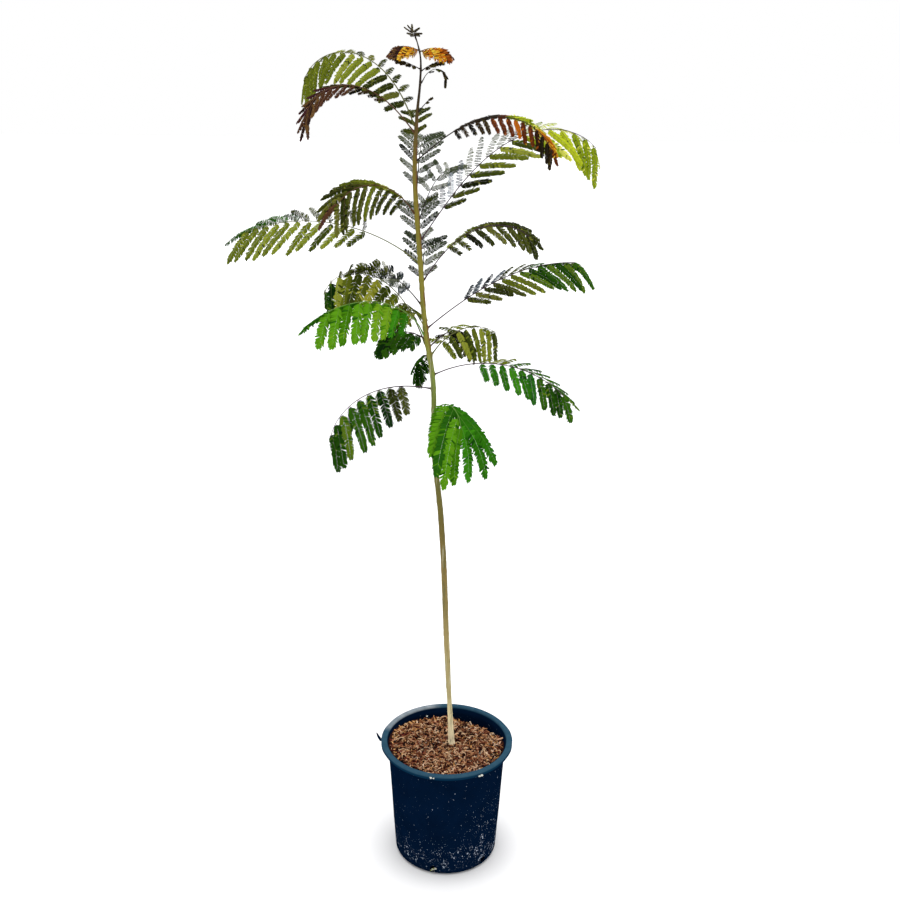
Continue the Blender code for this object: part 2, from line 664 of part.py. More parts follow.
main()
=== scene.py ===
"""Looks of a potted young persian silk tree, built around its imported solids.

A slim leaning stem rises from a pot of bark mix and carries compound leaves that arch out and hang.
Each of these leaves, here called a frond, grows by the rule of the solids: a rib with blades in pairs.
Here each blade is carried on to a midrib with its own pairs of leaflets.
Metres, +Z up. The origin is the centre of the pot's flat underside, and -Y is the front.
"""
from __future__ import annotations

import json
import logging
import math
from collections.abc import Callable
from dataclasses import dataclass
from enum import Enum

import bpy
import numpy as np
from mathutils import Matrix, Vector

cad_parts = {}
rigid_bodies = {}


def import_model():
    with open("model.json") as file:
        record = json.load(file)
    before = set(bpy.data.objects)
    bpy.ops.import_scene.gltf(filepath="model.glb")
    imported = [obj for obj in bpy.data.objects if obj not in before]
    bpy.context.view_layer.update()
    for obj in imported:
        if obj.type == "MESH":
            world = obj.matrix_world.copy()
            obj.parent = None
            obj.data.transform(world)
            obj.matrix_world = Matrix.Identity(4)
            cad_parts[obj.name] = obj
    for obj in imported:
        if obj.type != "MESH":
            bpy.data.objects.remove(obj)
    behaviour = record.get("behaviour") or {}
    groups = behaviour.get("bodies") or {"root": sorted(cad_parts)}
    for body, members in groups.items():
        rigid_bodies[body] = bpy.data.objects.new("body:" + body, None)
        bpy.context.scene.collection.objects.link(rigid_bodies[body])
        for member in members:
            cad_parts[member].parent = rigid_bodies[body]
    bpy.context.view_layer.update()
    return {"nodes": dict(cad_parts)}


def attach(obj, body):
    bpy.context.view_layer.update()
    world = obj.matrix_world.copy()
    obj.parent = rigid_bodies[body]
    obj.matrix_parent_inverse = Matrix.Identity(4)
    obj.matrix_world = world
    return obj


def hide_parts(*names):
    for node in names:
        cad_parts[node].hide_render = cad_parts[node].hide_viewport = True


LOG = logging.getLogger("silk_tree")
Array = np.ndarray
Colour = tuple[int, int, int]
Draw = np.random.Generator
Material = bpy.types.Material
Pair = tuple[float, float]
Piece = bpy.types.Object
Triple = tuple[float, float, float]
UP = np.array((0.0, 0.0, 1.0))
TURN = 2.0 * math.pi
LAMP_GAIN = 0.72


class Tint(Enum):
    """A family of leaf shades, each shade as red, green and blue from 0 to 255. The lighter and darker shades
    of a family stand partly for the leaflets' own uneven tone and partly for painted highlights and painted
    shade, dealt at random.
    """

    BRIGHT = ((72, 132, 16), (94, 156, 26), (42, 98, 18), (116, 164, 32))
    JADE = ((48, 116, 18), (64, 142, 24), (26, 78, 16), (46, 110, 34))
    DEEP = ((36, 76, 14), (54, 100, 20), (20, 50, 14), (92, 122, 30))
    OLIVE = ((106, 118, 30), (134, 146, 42), (66, 78, 24), (156, 164, 58))
    MAIZE = ((138, 144, 38), (168, 170, 56), (98, 108, 32), (192, 190, 82))
    MOSS = ((52, 60, 20), (76, 84, 28), (28, 34, 14), (108, 112, 44))
    LIME = ((142, 162, 26), (188, 202, 42), (94, 114, 22), (222, 224, 92))
    DUSK = ((70, 80, 58), (98, 106, 80), (42, 50, 38), (124, 130, 104))
    SLATE = ((58, 68, 72), (88, 98, 106), (36, 42, 44), (118, 130, 140))
    BRONZE = ((88, 58, 40), (116, 86, 48), (50, 34, 30), (78, 44, 48))
    AMBER = ((196, 104, 20), (226, 160, 34), (96, 44, 16), (238, 198, 66))
    RUST = ((106, 50, 22), (152, 76, 24), (48, 26, 18), (186, 108, 40))
    DARK = ((38, 32, 20), (58, 46, 26), (22, 22, 16), (84, 76, 36))


class RibTint(Enum):
    """The colour of a frond's rib and of its midribs, from 0 to 255."""

    PLUM = (70, 50, 60)
    OLIVE = (104, 108, 56)
    GREEN = (104, 146, 62)
    BROWN = (92, 62, 40)
    INK = (40, 32, 26)


BRIGHT, JADE, DEEP, OLIVE, MAIZE, MOSS, LIME, DUSK, SLATE, BRONZE, AMBER, RUST, DARK = Tint
Zones = tuple[Tint | float, ...]
# Odds of a family's four shades; their spread is partly own tone, partly painted highlights and shade.
SHADE_ODDS = (0.40, 0.27, 0.20, 0.13)
SHADE_COUNT = len(SHADE_ODDS)


def unit(vectors: Array) -> Array:
    """Scales vectors along the last axis to length one."""
    return vectors / np.maximum(np.linalg.norm(vectors, axis=-1, keepdims=True), 1e-12)


def square_to(ways: Array, vectors: Array) -> Array:
    """Unit vectors of what is left of vectors when their share along unit ways is taken out."""
    return unit(vectors - (vectors * ways).sum(-1, keepdims=True) * ways)


def swung(first: Array, second: Array, angle: Array) -> Array:
    """Swings the first unit vector towards the second by an angle."""
    return np.cos(angle) * first + np.sin(angle) * second


def placed(name: str, data: bpy.types.ID) -> Piece:
    """Makes an object out of its data, in the scene.

    Args:
        name: Name of the object.
        data: Its mesh, camera or light.
    Returns:
        The object.
    """
    made = bpy.data.objects.new(name, data)
    bpy.context.scene.collection.objects.link(made)
    return made


def smooth_step(low: float, high: float, values: Array) -> Array:
    """Runs from 0 at low to 1 at high along 3t^2 - 2t^3, where t is the share of the way."""
    share = np.clip((values - low) / (high - low), 0.0, 1.0)
    return share * share * (3.0 - 2.0 * share)


def smooth_curve(at: Array, knots: Array, values: Array) -> Array:
    """Cubic Hermite curve through the values, with the slopes of their neighbours.

    Args:
        at: Where the curve is read.
        knots: Rising places of the known values.
        values: The known values, one row for each knot.
    Returns:
        The curve's values at those places.
    """
    slopes = np.gradient(values, knots, axis=0)
    k = np.clip(np.searchsorted(knots, at, side="right") - 1, 0, len(knots) - 2)
    pad = (...,) + (None,) * (values.ndim - 1)
    span = (knots[k + 1] - knots[k])[pad]
    t = np.clip((at - knots[k])[pad] / span, 0.0, 1.0)
    start = (2 * t**3 - 3 * t**2 + 1) * values[k] + (t**3 - 2 * t**2 + t) * span * slopes[k]
    end = (3 * t**2 - 2 * t**3) * values[k + 1] + (t**3 - t**2) * span * slopes[k + 1]
    return start + end


def ripples(x: Array, y: Array, waves: int, seed: int) -> Array:
    """Even unrest on a plane: the mean of sines that run in seeded directions at seeded lengths.

    Args:
        x: First coordinate, in radians of the longest wave.
        y: Second coordinate, alike.
        waves: How many sines are added.
        seed: Start of the random draws.
    Returns:
        Heights of about -1 to 1.
    """
    draw = np.random.default_rng(seed)
    turns, counts = draw.uniform(0, TURN, waves), draw.uniform(0.5, 3.0, waves)
    total = np.zeros(np.broadcast(x, y).shape)
    for turn, count, phase in zip(turns, counts, draw.uniform(0, TURN, waves)):
        total += np.sin(count * (x * math.cos(turn) + y * math.sin(turn)) + phase)
    return total / math.sqrt(waves)


def round_points(radius: Array | float, turns: Array, height: Array | float) -> Array:
    """Points at radii, turns and heights about the upright axis."""
    return np.stack(np.broadcast_arrays(radius * np.cos(turns), radius * np.sin(turns), height), axis=-1)


def linear(colour: Colour, gain: float = LAMP_GAIN) -> tuple[float, float, float, float]:
    """Turns a screen colour of 0 to 255 into the linear colour that a shader takes.

    Args:
        colour: Red, green and blue as they are meant to look in the lamps' light.
        gain: Factor on the linear values, which makes up for the lamps' strength.
    Returns:
        Linear red, green and blue, and full cover.
    """
    share = np.array(colour) / 255.0
    value = np.where(share <= 0.04045, share / 12.92, ((share + 0.055) / 1.055) ** 2.4)
    return (*(float(v) * gain for v in value), 1.0)


@dataclass
class Surface:
    """Points and faces of one mesh, worked out as arrays before the mesh is made."""

    points: Array
    corners: Array
    sizes: Array
    tints: Array

    @classmethod
    def joined(cls, parts: list[Surface]) -> Surface:
        """Lays surfaces one after another in one.

        Args:
            parts: The surfaces.
        Returns:
            One surface with all their faces.
        """
        shifts = np.cumsum([0] + [len(p.points) for p in parts[:-1]])
        return cls(np.concatenate([p.points for p in parts]),
                   np.concatenate([p.corners + s for p, s in zip(parts, shifts)]),
                   np.concatenate([p.sizes for p in parts]), np.concatenate([p.tints for p in parts]))

    @classmethod
    def copies(cls, points: Array, tints: Array | int, *patterns: Array) -> Surface:
        """Repeats patterns of faces over many shapes.

        Args:
            points: Points of shape (shapes, points of a shape, 3).
            tints: Material index of each shape, or one for all.
            patterns: Faces of one shape as indices into its points, one array for each corner count.
        Returns:
            One surface with all the shapes.
        """
        shifts = (np.arange(len(points)) * points.shape[1])[:, None, None]
        faces = [(p[None] + shifts).reshape(-1, p.shape[1]) for p in patterns]
        tints = np.broadcast_to(tints, len(points))
        return cls(points.reshape(-1, 3), np.concatenate([f.ravel() for f in faces]),
                   np.concatenate([np.full(len(f), f.shape[1]) for f in faces]),
                   np.concatenate([np.repeat(tints, len(p)) for p in patterns]))

    @classmethod
    def skins(cls, rings: Array, tints: Array | int = 0) -> Surface:
        """Skins closed tubes: each ring joins the next, and a fan of triangles closes each end.

        Args:
            rings: Points of shape (tubes, rings, sides, 3), anticlockwise about the way they run.
            tints: Material index of each tube, or one for all.
        Returns:
            One surface with all the tubes.
        """
        tubes, rows, sides = rings.shape[:3]
        index = np.arange(rows * sides).reshape(rows, sides)
        ahead = np.roll(index, -1, axis=1)
        quads = np.stack((index[:-1], ahead[:-1], ahead[1:], index[1:]), axis=-1).reshape(-1, 4)
        first = np.stack((ahead[0], index[0], np.full(sides, rows * sides)), axis=-1)
        last = np.stack((index[-1], ahead[-1], np.full(sides, rows * sides + 1)), axis=-1)
        points = np.concatenate((rings.reshape(tubes, -1, 3), rings[:, [0, -1]].mean(axis=2)), axis=1)
        return cls.copies(points, tints, quads, first, last)

    def triangles(self) -> int:
        """Counts the triangles that the faces make."""
        return int((self.sizes - 2).sum())

    def to_object(self, name: str, materials: list[Material], smooth: bool,
                  uv: Array | None = None) -> Piece:
        """Makes the mesh and its object, with only the materials that the faces use.

        Args:
            name: Name of the piece.
            materials: Materials that the tints number.
            smooth: Whether the faces are shaded smooth.
            uv: Two values for each point, or None for no UV map.
        Returns:
            The new object, in the scene.
        """
        used, tints = np.unique(self.tints, return_inverse=True)
        mesh = bpy.data.meshes.new(name)
        mesh.vertices.add(len(self.points))
        mesh.vertices.foreach_set("co", self.points.astype(np.float32).ravel())
        mesh.loops.add(len(self.corners))
        mesh.loops.foreach_set("vertex_index", self.corners.astype(np.int32))
        mesh.polygons.add(len(self.sizes))
        mesh.polygons.foreach_set("loop_start", (np.cumsum(self.sizes) - self.sizes).astype(np.int32))
        mesh.polygons.foreach_set("material_index", tints.ravel().astype(np.int32))
        mesh.polygons.foreach_set("use_smooth", np.full(len(self.sizes), smooth))
        if uv is not None:
            layer = mesh.uv_layers.new(name="along")
            layer.uv.foreach_set("vector", uv[self.corners].astype(np.float32).ravel())
        for k in used:
            mesh.materials.append(materials[k])
        mesh.update(calc_edges=True)
        return placed(name, mesh)


def tube_rings(lines: Array, radii: Array, sides: int, hint: Array) -> Array:
    """Carries a circle along lines: each point is the line's point plus its radius on a turning arm.

    Args:
        lines: Centre points of shape (tubes, rings, 3).
        radii: Radii of shape (tubes, rings), or (tubes, rings, sides) where the ring isn't round.
        sides: Points round each ring.
        hint: Direction from which the first arm is worked out, across the lines.
    Returns:
        Points of shape (tubes, rings, sides, 3), anticlockwise about the way the lines run.
    """
    ways = unit(np.gradient(lines, axis=1))
    first = square_to(ways, hint)
    turns = np.arange(sides) * TURN / sides
    arms = swung(first[..., None, :], np.cross(ways, first)[..., None, :], turns[:, None])
    size = radii[..., None, None] if radii.ndim == lines.ndim - 1 else radii[..., None]
    return lines[..., None, :] + size * arms


def maths(operation: str, swapped: bool = False) -> Callable[[Socket, Socket | float], Socket]:
    """Makes an operator that adds one Math node.

    Args:
        operation: The node's operation.
        swapped: Whether the socket comes second, as in a reflected difference.
    Returns:
        The operator.
    """

    def operate(this: Socket, other: Socket | float) -> Socket:
        """Adds the node to the graph of this socket."""
        return this.graph.sum(operation, *((other, this) if swapped else (this, other)))

    return operate


class Socket:
    """A shader output that takes part in sums."""

    def __init__(self, graph: Graph, output: bpy.types.NodeSocket) -> None:
        """Keeps the graph and the output that this stands for."""
        self.graph = graph
        self.output = output

    __add__ = maths("ADD")
    __radd__ = maths("ADD")
    __sub__ = maths("SUBTRACT")
    __rsub__ = maths("SUBTRACT", swapped=True)
    __mul__ = maths("MULTIPLY")
    __rmul__ = maths("MULTIPLY")
    __truediv__ = maths("DIVIDE")
    __pow__ = maths("POWER")


class Graph:
    """The nodes of one material, which end in its Principled shader."""

    def __init__(self, name: str) -> None:
        """Makes the material.

        Args:
            name: Name of the material.
        """
        self.material = bpy.data.materials.new(name)
        self.material.use_nodes = True
        self.tree = self.material.node_tree
        self.shader = self.tree.nodes["Principled BSDF"]

    def feed(self, socket: bpy.types.NodeSocket, value: object) -> None:
        """Links a socket to a value's output, or sets it to the value.

        Args:
            socket: The input.
            value: A Socket, or a plain value that the input takes.
        """
        if isinstance(value, Socket):
            self.tree.links.new(value.output, socket)
        else:
            socket.default_value = value

    def node(self, kind: str, inputs: dict, output: int | str = 0, **settings: object) -> Socket:
        """Adds any node.

        Args:
            kind: Type of the node.
            inputs: Values or links of its sockets, by name or number.
            output: Which output is handed on.
            settings: Its settings, set before its sockets; stops are a ramp's places and colours.
        Returns:
            The chosen output.
        """
        made = self.tree.nodes.new(kind)
        stops = settings.pop("stops", ())
        for name, value in settings.items():
            setattr(made, name, value)
        for k, (place, colour) in enumerate(stops):
            elements = made.color_ramp.elements
            stop = elements[k] if k < min(2, len(stops)) else elements.new(place)
            stop.position = place
            stop.color = colour
        for name, value in inputs.items():
            self.feed(made.inputs[name], value)
        return Socket(self, made.outputs[output])

    def sum(self, operation: str, *values: Socket | float) -> Socket:
        """Adds a Math node."""
        return self.node("ShaderNodeMath", dict(enumerate(values)), operation=operation)

    def place(self, kind: str = "Object") -> Socket:
        """The point's own place, in metres, or its place on the UV map."""
        return self.node("ShaderNodeTexCoord", {}, kind)

    def parts(self, vector: Socket) -> list[Socket]:
        """The three numbers of a vector."""
        made = self.node("ShaderNodeSeparateXYZ", {0: vector})
        return [Socket(self, output) for output in made.output.node.outputs]

    def mapped(self, vector: Socket, scale: Triple) -> Socket:
        """A vector stretched along its axes."""
        return self.node("ShaderNodeMapping", {"Vector": vector, "Scale": scale})

    def noise(self, vector: Socket, scale: float, detail: float = 3.0, rough: float = 0.5) -> Socket:
        """Soft noise from 0 to 1."""
        inputs = {"Vector": vector, "Scale": scale, "Detail": detail, "Roughness": rough}
        return self.node("ShaderNodeTexNoise", inputs)

    def ramp(self, value: Socket, stops: tuple) -> Socket:
        """A colour read off a ramp of places and colours."""
        return self.node("ShaderNodeValToRGB", {0: value}, stops=stops)

    def step(self, low: float, high: float, value: Socket) -> Socket:
        """Runs from 0 at low to 1 at high."""
        inputs = {"Value": value, "From Min": low, "From Max": high}
        return self.node("ShaderNodeMapRange", inputs, interpolation_type="SMOOTHSTEP")

    def blend(self, share: Socket | float, under: object, over: Colour) -> Socket:
        """Lays a screen colour over what is under it by a share."""
        return self.node("ShaderNodeMix", {0: share, 6: under, 7: linear(over)}, 2, data_type="RGBA")

    def bump(self, height: Socket, distance: float, strength: float = 1.0) -> None:
        """Feeds a height, in units of the distance, to the shader's normal."""
        inputs = {"Height": height, "Distance": distance, "Strength": strength}
        self.finish(Normal=self.node("ShaderNodeBump", inputs))

    def finish(self, **values: object) -> Material:
        """Feeds the shader's sockets.

        Args:
            values: Values or links, by the sockets' names with underscores for spaces.
        Returns:
            The finished material.
        """
        for name, value in values.items():
            self.feed(self.shader.inputs[name.replace("_", " ")], value)
        return self.material


@dataclass(frozen=True)
class PlainFinish:
    """One plain base colour, for a small shape that is repeated many times."""

    name: str
    colour: Colour
    roughness: float = 0.55
    specular: float = 0.12
    gain: float = LAMP_GAIN

    def material(self) -> Material:
        """Makes the material."""
        return Graph(self.name).finish(Base_Color=linear(self.colour, self.gain), Roughness=self.roughness,
                                       Specular_IOR_Level=self.specular)


@dataclass(frozen=True)
class PotFinish:
    """Dark blue moulded plastic: a paler lip whose top is lighter partly from wear and partly as a painted
    reflection of the bright sky, a painted sheen on the lip's top towards the back left, and pale dust, dense
    towards the foot.
    """

    body: Colour = (5, 28, 57)
    shade: Colour = (2, 16, 36)
    lip_side: Colour = (12, 48, 74)
    # Top of the lip: its worn colour, lightened as a painted reflection of the sky.
    lip_top_wear_and_sheen: Colour = (56, 90, 110)
    # Painted sheen: a pale reflection on the lip's top towards the back left.
    painted_sheen: Colour = (168, 176, 182)
    dust: Colour = (206, 218, 236)
    lip_starts: Pair = (0.1335, 0.1350)
    lip_ends: Pair = (0.1486, 0.1494)
    side_starts: Pair = (0.2685, 0.2725)
    crown_starts: Pair = (0.2745, 0.2780)
    wall_starts: Pair = (0.105, 0.112)
    wall_ends: Pair = (0.262, 0.268)
    dust_starts: Pair = (0.008, 0.022)
    dust_ends: Pair = (0.020, 0.135)
    climb_ends: Pair = (0.10, 0.24)
    # Compass direction of the painted sheen on the lip's top.
    painted_sheen_compass: float = 132.0
    dust_compass: float = -38.0

    def material(self) -> Material:
        """Makes the material: colour by height and compass, dust where fine noise peaks.

        Returns:
            The material.
        """
        graph = Graph("pot_plastic")
        place = graph.place()
        x, y, z = graph.parts(place)
        compass = graph.sum("ARCTAN2", y, x)

        def facing(low: float, high: float, degrees: float) -> Socket:
            """Runs from 0 to 1 while the cosine of the turn from a compass direction grows."""
            return graph.step(low, high, graph.sum("COSINE", compass - math.radians(degrees)))

        cloud = graph.noise(place, 22.0, 4.0, 0.6)
        colour = graph.blend(cloud, linear(self.shade), self.body)
        radius = (x * x + y * y) ** 0.5
        on_lip = graph.step(*self.lip_starts, radius) * (1.0 - graph.step(*self.lip_ends, radius))
        worn = graph.step(0.35, 0.75, graph.noise(place, 60.0, 5.0, 0.65))
        side = on_lip * graph.step(*self.side_starts, z)
        colour = graph.blend(side, colour, self.lip_side)
        # Painted highlight: the lip's top is lighter, partly from wear and partly as a painted reflection of
        # the bright sky.
        crown = on_lip * graph.step(*self.crown_starts, z)
        colour = graph.blend(crown * (0.7 + 0.3 * worn), colour, self.lip_top_wear_and_sheen)
        # Painted sheen: the lip's top turns pale where it faces the back left, broken up by the wear noise.
        sheen = crown * facing(0.78, 0.92, self.painted_sheen_compass) * (0.6 + 0.4 * worn)
        colour = graph.blend(sheen * 0.9, colour, self.painted_sheen)

        low = 1.0 - graph.step(*self.dust_ends, z)
        dusty = low * (0.76 + 0.34 * facing(0.2, 1.0, self.dust_compass))
        climb = facing(0.75, 1.0, self.dust_compass) * (1.0 - graph.step(*self.climb_ends, z))
        clumps = graph.step(0.40, 0.64, graph.noise(place, 55.0, 3.0, 0.6)) * graph.step(*self.dust_starts, z)
        amount = graph.sum("MAXIMUM", dusty, climb * 0.6) * (0.2 + 0.8 * clumps)
        fine = graph.noise(place, 430.0, 2.0, 0.6)
        coarse = graph.noise(place, 190.0, 2.0, 0.5)
        grains = graph.sum("MAXIMUM", graph.step(0.0, 0.04, fine - (0.735 - 0.165 * amount)),
                           graph.step(0.0, 0.03, coarse - (0.735 - 0.145 * amount)))
        grains = grains * (graph.step(*self.wall_starts, radius) * (1.0 - graph.step(*self.wall_ends, z)))
        colour = graph.blend(grains * 0.85, colour, self.dust)
        graph.bump(graph.noise(place, 380.0, 3.0) + grains, 0.00012, 0.6)
        return graph.finish(Base_Color=colour, Roughness=0.42 + 0.16 * cloud + 0.25 * grains,
                            Specular_IOR_Level=0.0)


@dataclass(frozen=True)
class BarkFinish:
    """Young bark by height, with streaks along the stem, a brown side and pale pores."""

    heights: tuple[float, ...] = (0.25, 0.33, 0.38, 0.50, 0.60, 0.70, 0.80, 0.95, 1.12, 1.20, 1.50,
                                  1.60, 1.67, 1.78)
    colours: tuple[Colour, ...] = (
        (252, 240, 204), (244, 228, 180), (172, 160, 114), (156, 140, 92), (130, 115, 68),
        (124, 104, 54), (100, 88, 40), (108, 106, 52), (118, 132, 60), (128, 124, 48), (120, 108, 41),
        (90, 72, 33), (43, 33, 22), (34, 26, 22))
    gain: float = 1.0
    pale_ends: Pair = (1.15, 1.45)
    brown_starts: Pair = (1.12, 1.24)
    brown_ends: Pair = (1.60, 1.66)
    streak_grain: Triple = (220.0, 220.0, 14.0)
    pale_grain: Triple = (160.0, 160.0, 9.0)
    patch_grain: Triple = (60.0, 60.0, 22.0)
    pore_grain: Triple = (1.0, 1.0, 0.45)
    pore_scale: float = 330.0
    streak: Colour = (92, 98, 62)
    brown: Colour = (112, 68, 34)
    pale: Colour = (218, 214, 180)
    scar: Colour = (84, 66, 46)

    def material(self, low: float, high: float) -> Material:
        """Makes the material. U runs once round the stem and V is the height in metres.

        Args:
            low: Height of the stem's foot.
            high: Height of its tip.
        Returns:
            The material.
        """
        graph = Graph("young_bark")
        round_share, height, _ = graph.parts(graph.place("UV"))
        stops = tuple(((z - low) / (high - low), linear(c, self.gain))
                      for z, c in zip(self.heights, self.colours))
        colour = graph.ramp((height - low) / (high - low), stops)
        place = graph.place()
        streaks = graph.noise(graph.mapped(place, self.streak_grain), 1.0, 4.0, 0.6)
        lower = 1.0 - graph.step(*self.pale_ends, height)
        colour = graph.blend(graph.step(0.50, 0.68, streaks) * (0.25 + 0.45 * lower), colour, self.streak)
        pale = graph.step(0.56, 0.72, graph.noise(graph.mapped(place, self.pale_grain), 1.0, 3.0))
        colour = graph.blend(pale * lower * 0.55, colour, self.pale)
        side = graph.step(0.2, 0.9, graph.sum("COSINE", (round_share - 0.02) * TURN))
        upper = graph.step(*self.brown_starts, height) * (1.0 - graph.step(*self.brown_ends, height))
        patches = graph.step(0.38, 0.60, graph.noise(graph.mapped(place, self.patch_grain), 1.0, 3.0))
        colour = graph.blend(side * upper * patches * 0.9, colour, self.brown)
        cells = graph.node("ShaderNodeTexVoronoi", {"Vector": graph.mapped(place, self.pore_grain),
                                                    "Scale": self.pore_scale, "Randomness": 1.0})
        pores = 1.0 - graph.step(0.10, 0.22, cells)
        colour = graph.blend(pores * 0.35, colour, self.scar)
        graph.bump(streaks + pores * 0.6, 0.0004, 0.7)
        return graph.finish(Base_Color=colour, Roughness=0.62 - 0.14 * pale, Specular_IOR_Level=0.12)


@dataclass(frozen=True)
class BedFinish:
    """The dark fine stuff between the chips of the potting mix."""

    dark: Colour = (28, 10, 8)
    light: Colour = (82, 42, 32)

    def material(self) -> Material:
        """Makes the material: two browns by noise, rough, with a fine bump.

        Returns:
            The material.
        """
        graph = Graph("mix_bed")
        grain = graph.noise(graph.place(), 240.0, 4.0, 0.7)
        colour = graph.ramp(grain, ((0.40, linear(self.dark)), (0.68, linear(self.light))))
        graph.bump(grain, 0.0016)
        return graph.finish(Base_Color=colour, Roughness=0.95, Specular_IOR_Level=0.05)


@dataclass
class Pot:
    """Turned nursery pot with a rolled lip, two grips, a torn tab and drain holes."""

    height: float = 0.280
    lip_radius: float = 0.1465
    lip_inner_radius: float = 0.1355
    lip_depth: float = 0.010
    lip_round: float = 0.0025
    undercut: float = 0.0040
    wall_top_radius: float = 0.1325
    foot_radius: float = 0.1160
    corner: float = 0.006
    wall: float = 0.003
    grip_radius: float = 0.1480
    grip_half_angle: float = 12.0
    grip_end_angle: float = 26.0
    sides: int = 288
    row_spacing: float = 0.012
    drain_holes: int = 6
    drain_radius: float = 0.008
    drain_height: float = 0.007
    drain_first_angle: float = 257.0
    sway: float = 0.0005
    tab_foot: Pair = (-0.1475, 0.2725)
    tab_reach: Pair = (-0.0115, 0.0205)
    tab_radius: float = 0.0036
    tab_thickness: float = 0.35
    sharp_angle: float = 40.0

    def slope(self) -> float:
        """Growth of the wall's radius with height."""
        return (self.wall_top_radius - self.foot_radius) / (self.height - self.lip_depth - self.corner)

    def inner_radius(self, height: Array | float) -> Array | float:
        """Radius of the wall's inner side, which flares from below the lip to the lip's inner edge.

        Args:
            height: Height above the underside.
        Returns:
            The radius there.
        """
        low = self.height - self.lip_depth - self.undercut
        wall = self.foot_radius - self.wall + self.slope() * (np.minimum(height, low) - self.corner)
        flare = np.clip((height - low) / (self.height - low), 0.0, 1.0)
        return wall + flare * (self.lip_inner_radius - wall)

    @staticmethod
    def rounded(points: list[Triple], steps: int = 5) -> Array:
        """Rounds the corners of a line: each is a parabola from one side's cut to the other's.

        Args:
            points: Radius, height and cut length of each corner.
            steps: Points on each rounded corner.
        Returns:
            Radii and heights along the rounded line.
        """
        line = np.array(points)
        made = [line[:1, :2]]
        t = np.linspace(0.0, 1.0, steps)[:, None]
        for before, here, after in zip(line, line[1:], line[2:]):
            spot, cut = here[:2], here[2]
            start = spot + unit(before[:2] - spot) * cut
            end = spot + unit(after[:2] - spot) * cut
            made.append((1 - t) ** 2 * start + 2 * t * (1 - t) * spot + t**2 * end)
        made.append(line[-1:, :2])
        return np.concatenate(made)

    def profile(self) -> Array:
        """Radii and heights from the underside's middle, out, up, over the lip and down inside.

        Returns:
            One row for each ring.
        """
        lip_foot = self.height - self.lip_depth
        line = self.rounded([
            (0.004, 0.0, 0.0),
            (self.foot_radius - self.corner, 0.0, 0.003),
            (self.foot_radius, self.corner, 0.003),
            (self.wall_top_radius, lip_foot - 0.5 * self.undercut, 0.001),
            (self.wall_top_radius + self.undercut, lip_foot + self.undercut, 0.001),
            (self.lip_radius - self.lip_round, lip_foot, 0.001),
            (self.lip_radius, lip_foot, 0.0009),
            (self.lip_radius, self.height, self.lip_round),
            (self.lip_inner_radius, self.height, 0.002),
            (self.inner_radius(lip_foot - self.undercut), lip_foot - self.undercut, 0.003),
            (self.foot_radius - self.wall, self.wall + self.corner, 0.003),
            (self.foot_radius - self.corner, self.wall, 0.002),
            (0.004, self.wall, 0.0),
        ])
        way = np.concatenate(([0.0], np.cumsum(np.linalg.norm(np.diff(line, axis=0), axis=1))))
        rows = np.unique(np.concatenate((way, np.arange(0.0, way[-1], self.row_spacing))).round(7))
        return np.column_stack([np.interp(rows, way, line[:, k]) for k in (0, 1)])

    def surface(self) -> Surface:
        """Turns the profile; the lip swells softly at its two grips, and a faint wave unsettles it.

        Returns:
            The pot without its holes.
        """
        radius, height = np.hsplit(self.profile(), 2)
        turns = np.arange(self.sides) * TURN / self.sides
        off = np.degrees(np.arccos(np.abs(np.cos(turns))))
        swell = (self.grip_radius - self.lip_radius) * (
            1.0 - smooth_step(self.grip_half_angle, self.grip_end_angle, off))
        on_lip = (radius - self.lip_inner_radius) / (self.lip_radius - self.lip_inner_radius)
        on_lip = (height > self.height - self.lip_depth - 0.0001) * np.clip(on_lip, 0.0, 1.0)
        sway = self.sway * ripples(height * 20.0, turns[None], 4, 5) * smooth_step(0.0, 0.1, height)
        radius = radius + on_lip * swell + sway * (radius > 0.05)
        return Surface.skins(round_points(radius, turns, height)[None])

    def tab(self) -> Surface:
        """A torn tab at the left grip: a flat blade that narrows to a point as it bends up and out.

        Returns:
            The tab.
        """
        share = np.linspace(0.0, 1.0, 9)
        line = np.column_stack((self.tab_foot[0] + self.tab_reach[0] * share**0.8, 0.001 * share,
                                self.tab_foot[1] + self.tab_reach[1] * share**1.15))
        size = np.sqrt(np.clip(1.0 - share**1.6, 0.004, 1.0))
        rings = tube_rings(line[None], size[None] * self.tab_radius, 10, np.array((0.0, 1.0, 0.0)))
        middle = line[None, :, None]
        return Surface.skins(middle + (rings - middle) * np.array((1.0, self.tab_thickness, 1.0)))

    def build(self) -> list[Piece]:
        """Makes the pot with its tab, cuts the drain holes and gives both their finish.

        Returns:
            The pot and the tab.
        """
        pot = self.surface().to_object("pot_shell", [PotFinish().material()], True)
        tab = self.tab().to_object("pot_tab", pot.data.materials[:], True)
        for k in range(self.drain_holes):
            angle = math.radians(self.drain_first_angle + k * 360.0 / self.drain_holes)
            way = np.array((math.cos(angle), math.sin(angle), 0.0))
            hub = way * self.foot_radius + UP * (self.drain_height + self.drain_radius)
            line = (hub + np.array((-0.012, 0.012))[:, None] * way)[None]
            rings = tube_rings(line, np.full((1, 2), self.drain_radius), 28, UP)
            cutter = Surface.skins(rings).to_object("drain_cutter", pot.data.materials[:], False)
            hole = pot.modifiers.new("drain", "BOOLEAN")
            hole.operation = "DIFFERENCE"
            hole.object = cutter
            graph = bpy.context.evaluated_depsgraph_get()
            mesh = bpy.data.meshes.new_from_object(pot.evaluated_get(graph))
            pot.modifiers.clear()
            pot.data = mesh
            bpy.data.objects.remove(cutter)
        pot.data.shade_smooth()
        pot.data.set_sharp_from_angle(angle=math.radians(self.sharp_angle))
        for piece in (pot, tab):
            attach(piece, "root")
        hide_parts("pot")
        return [pot, tab]


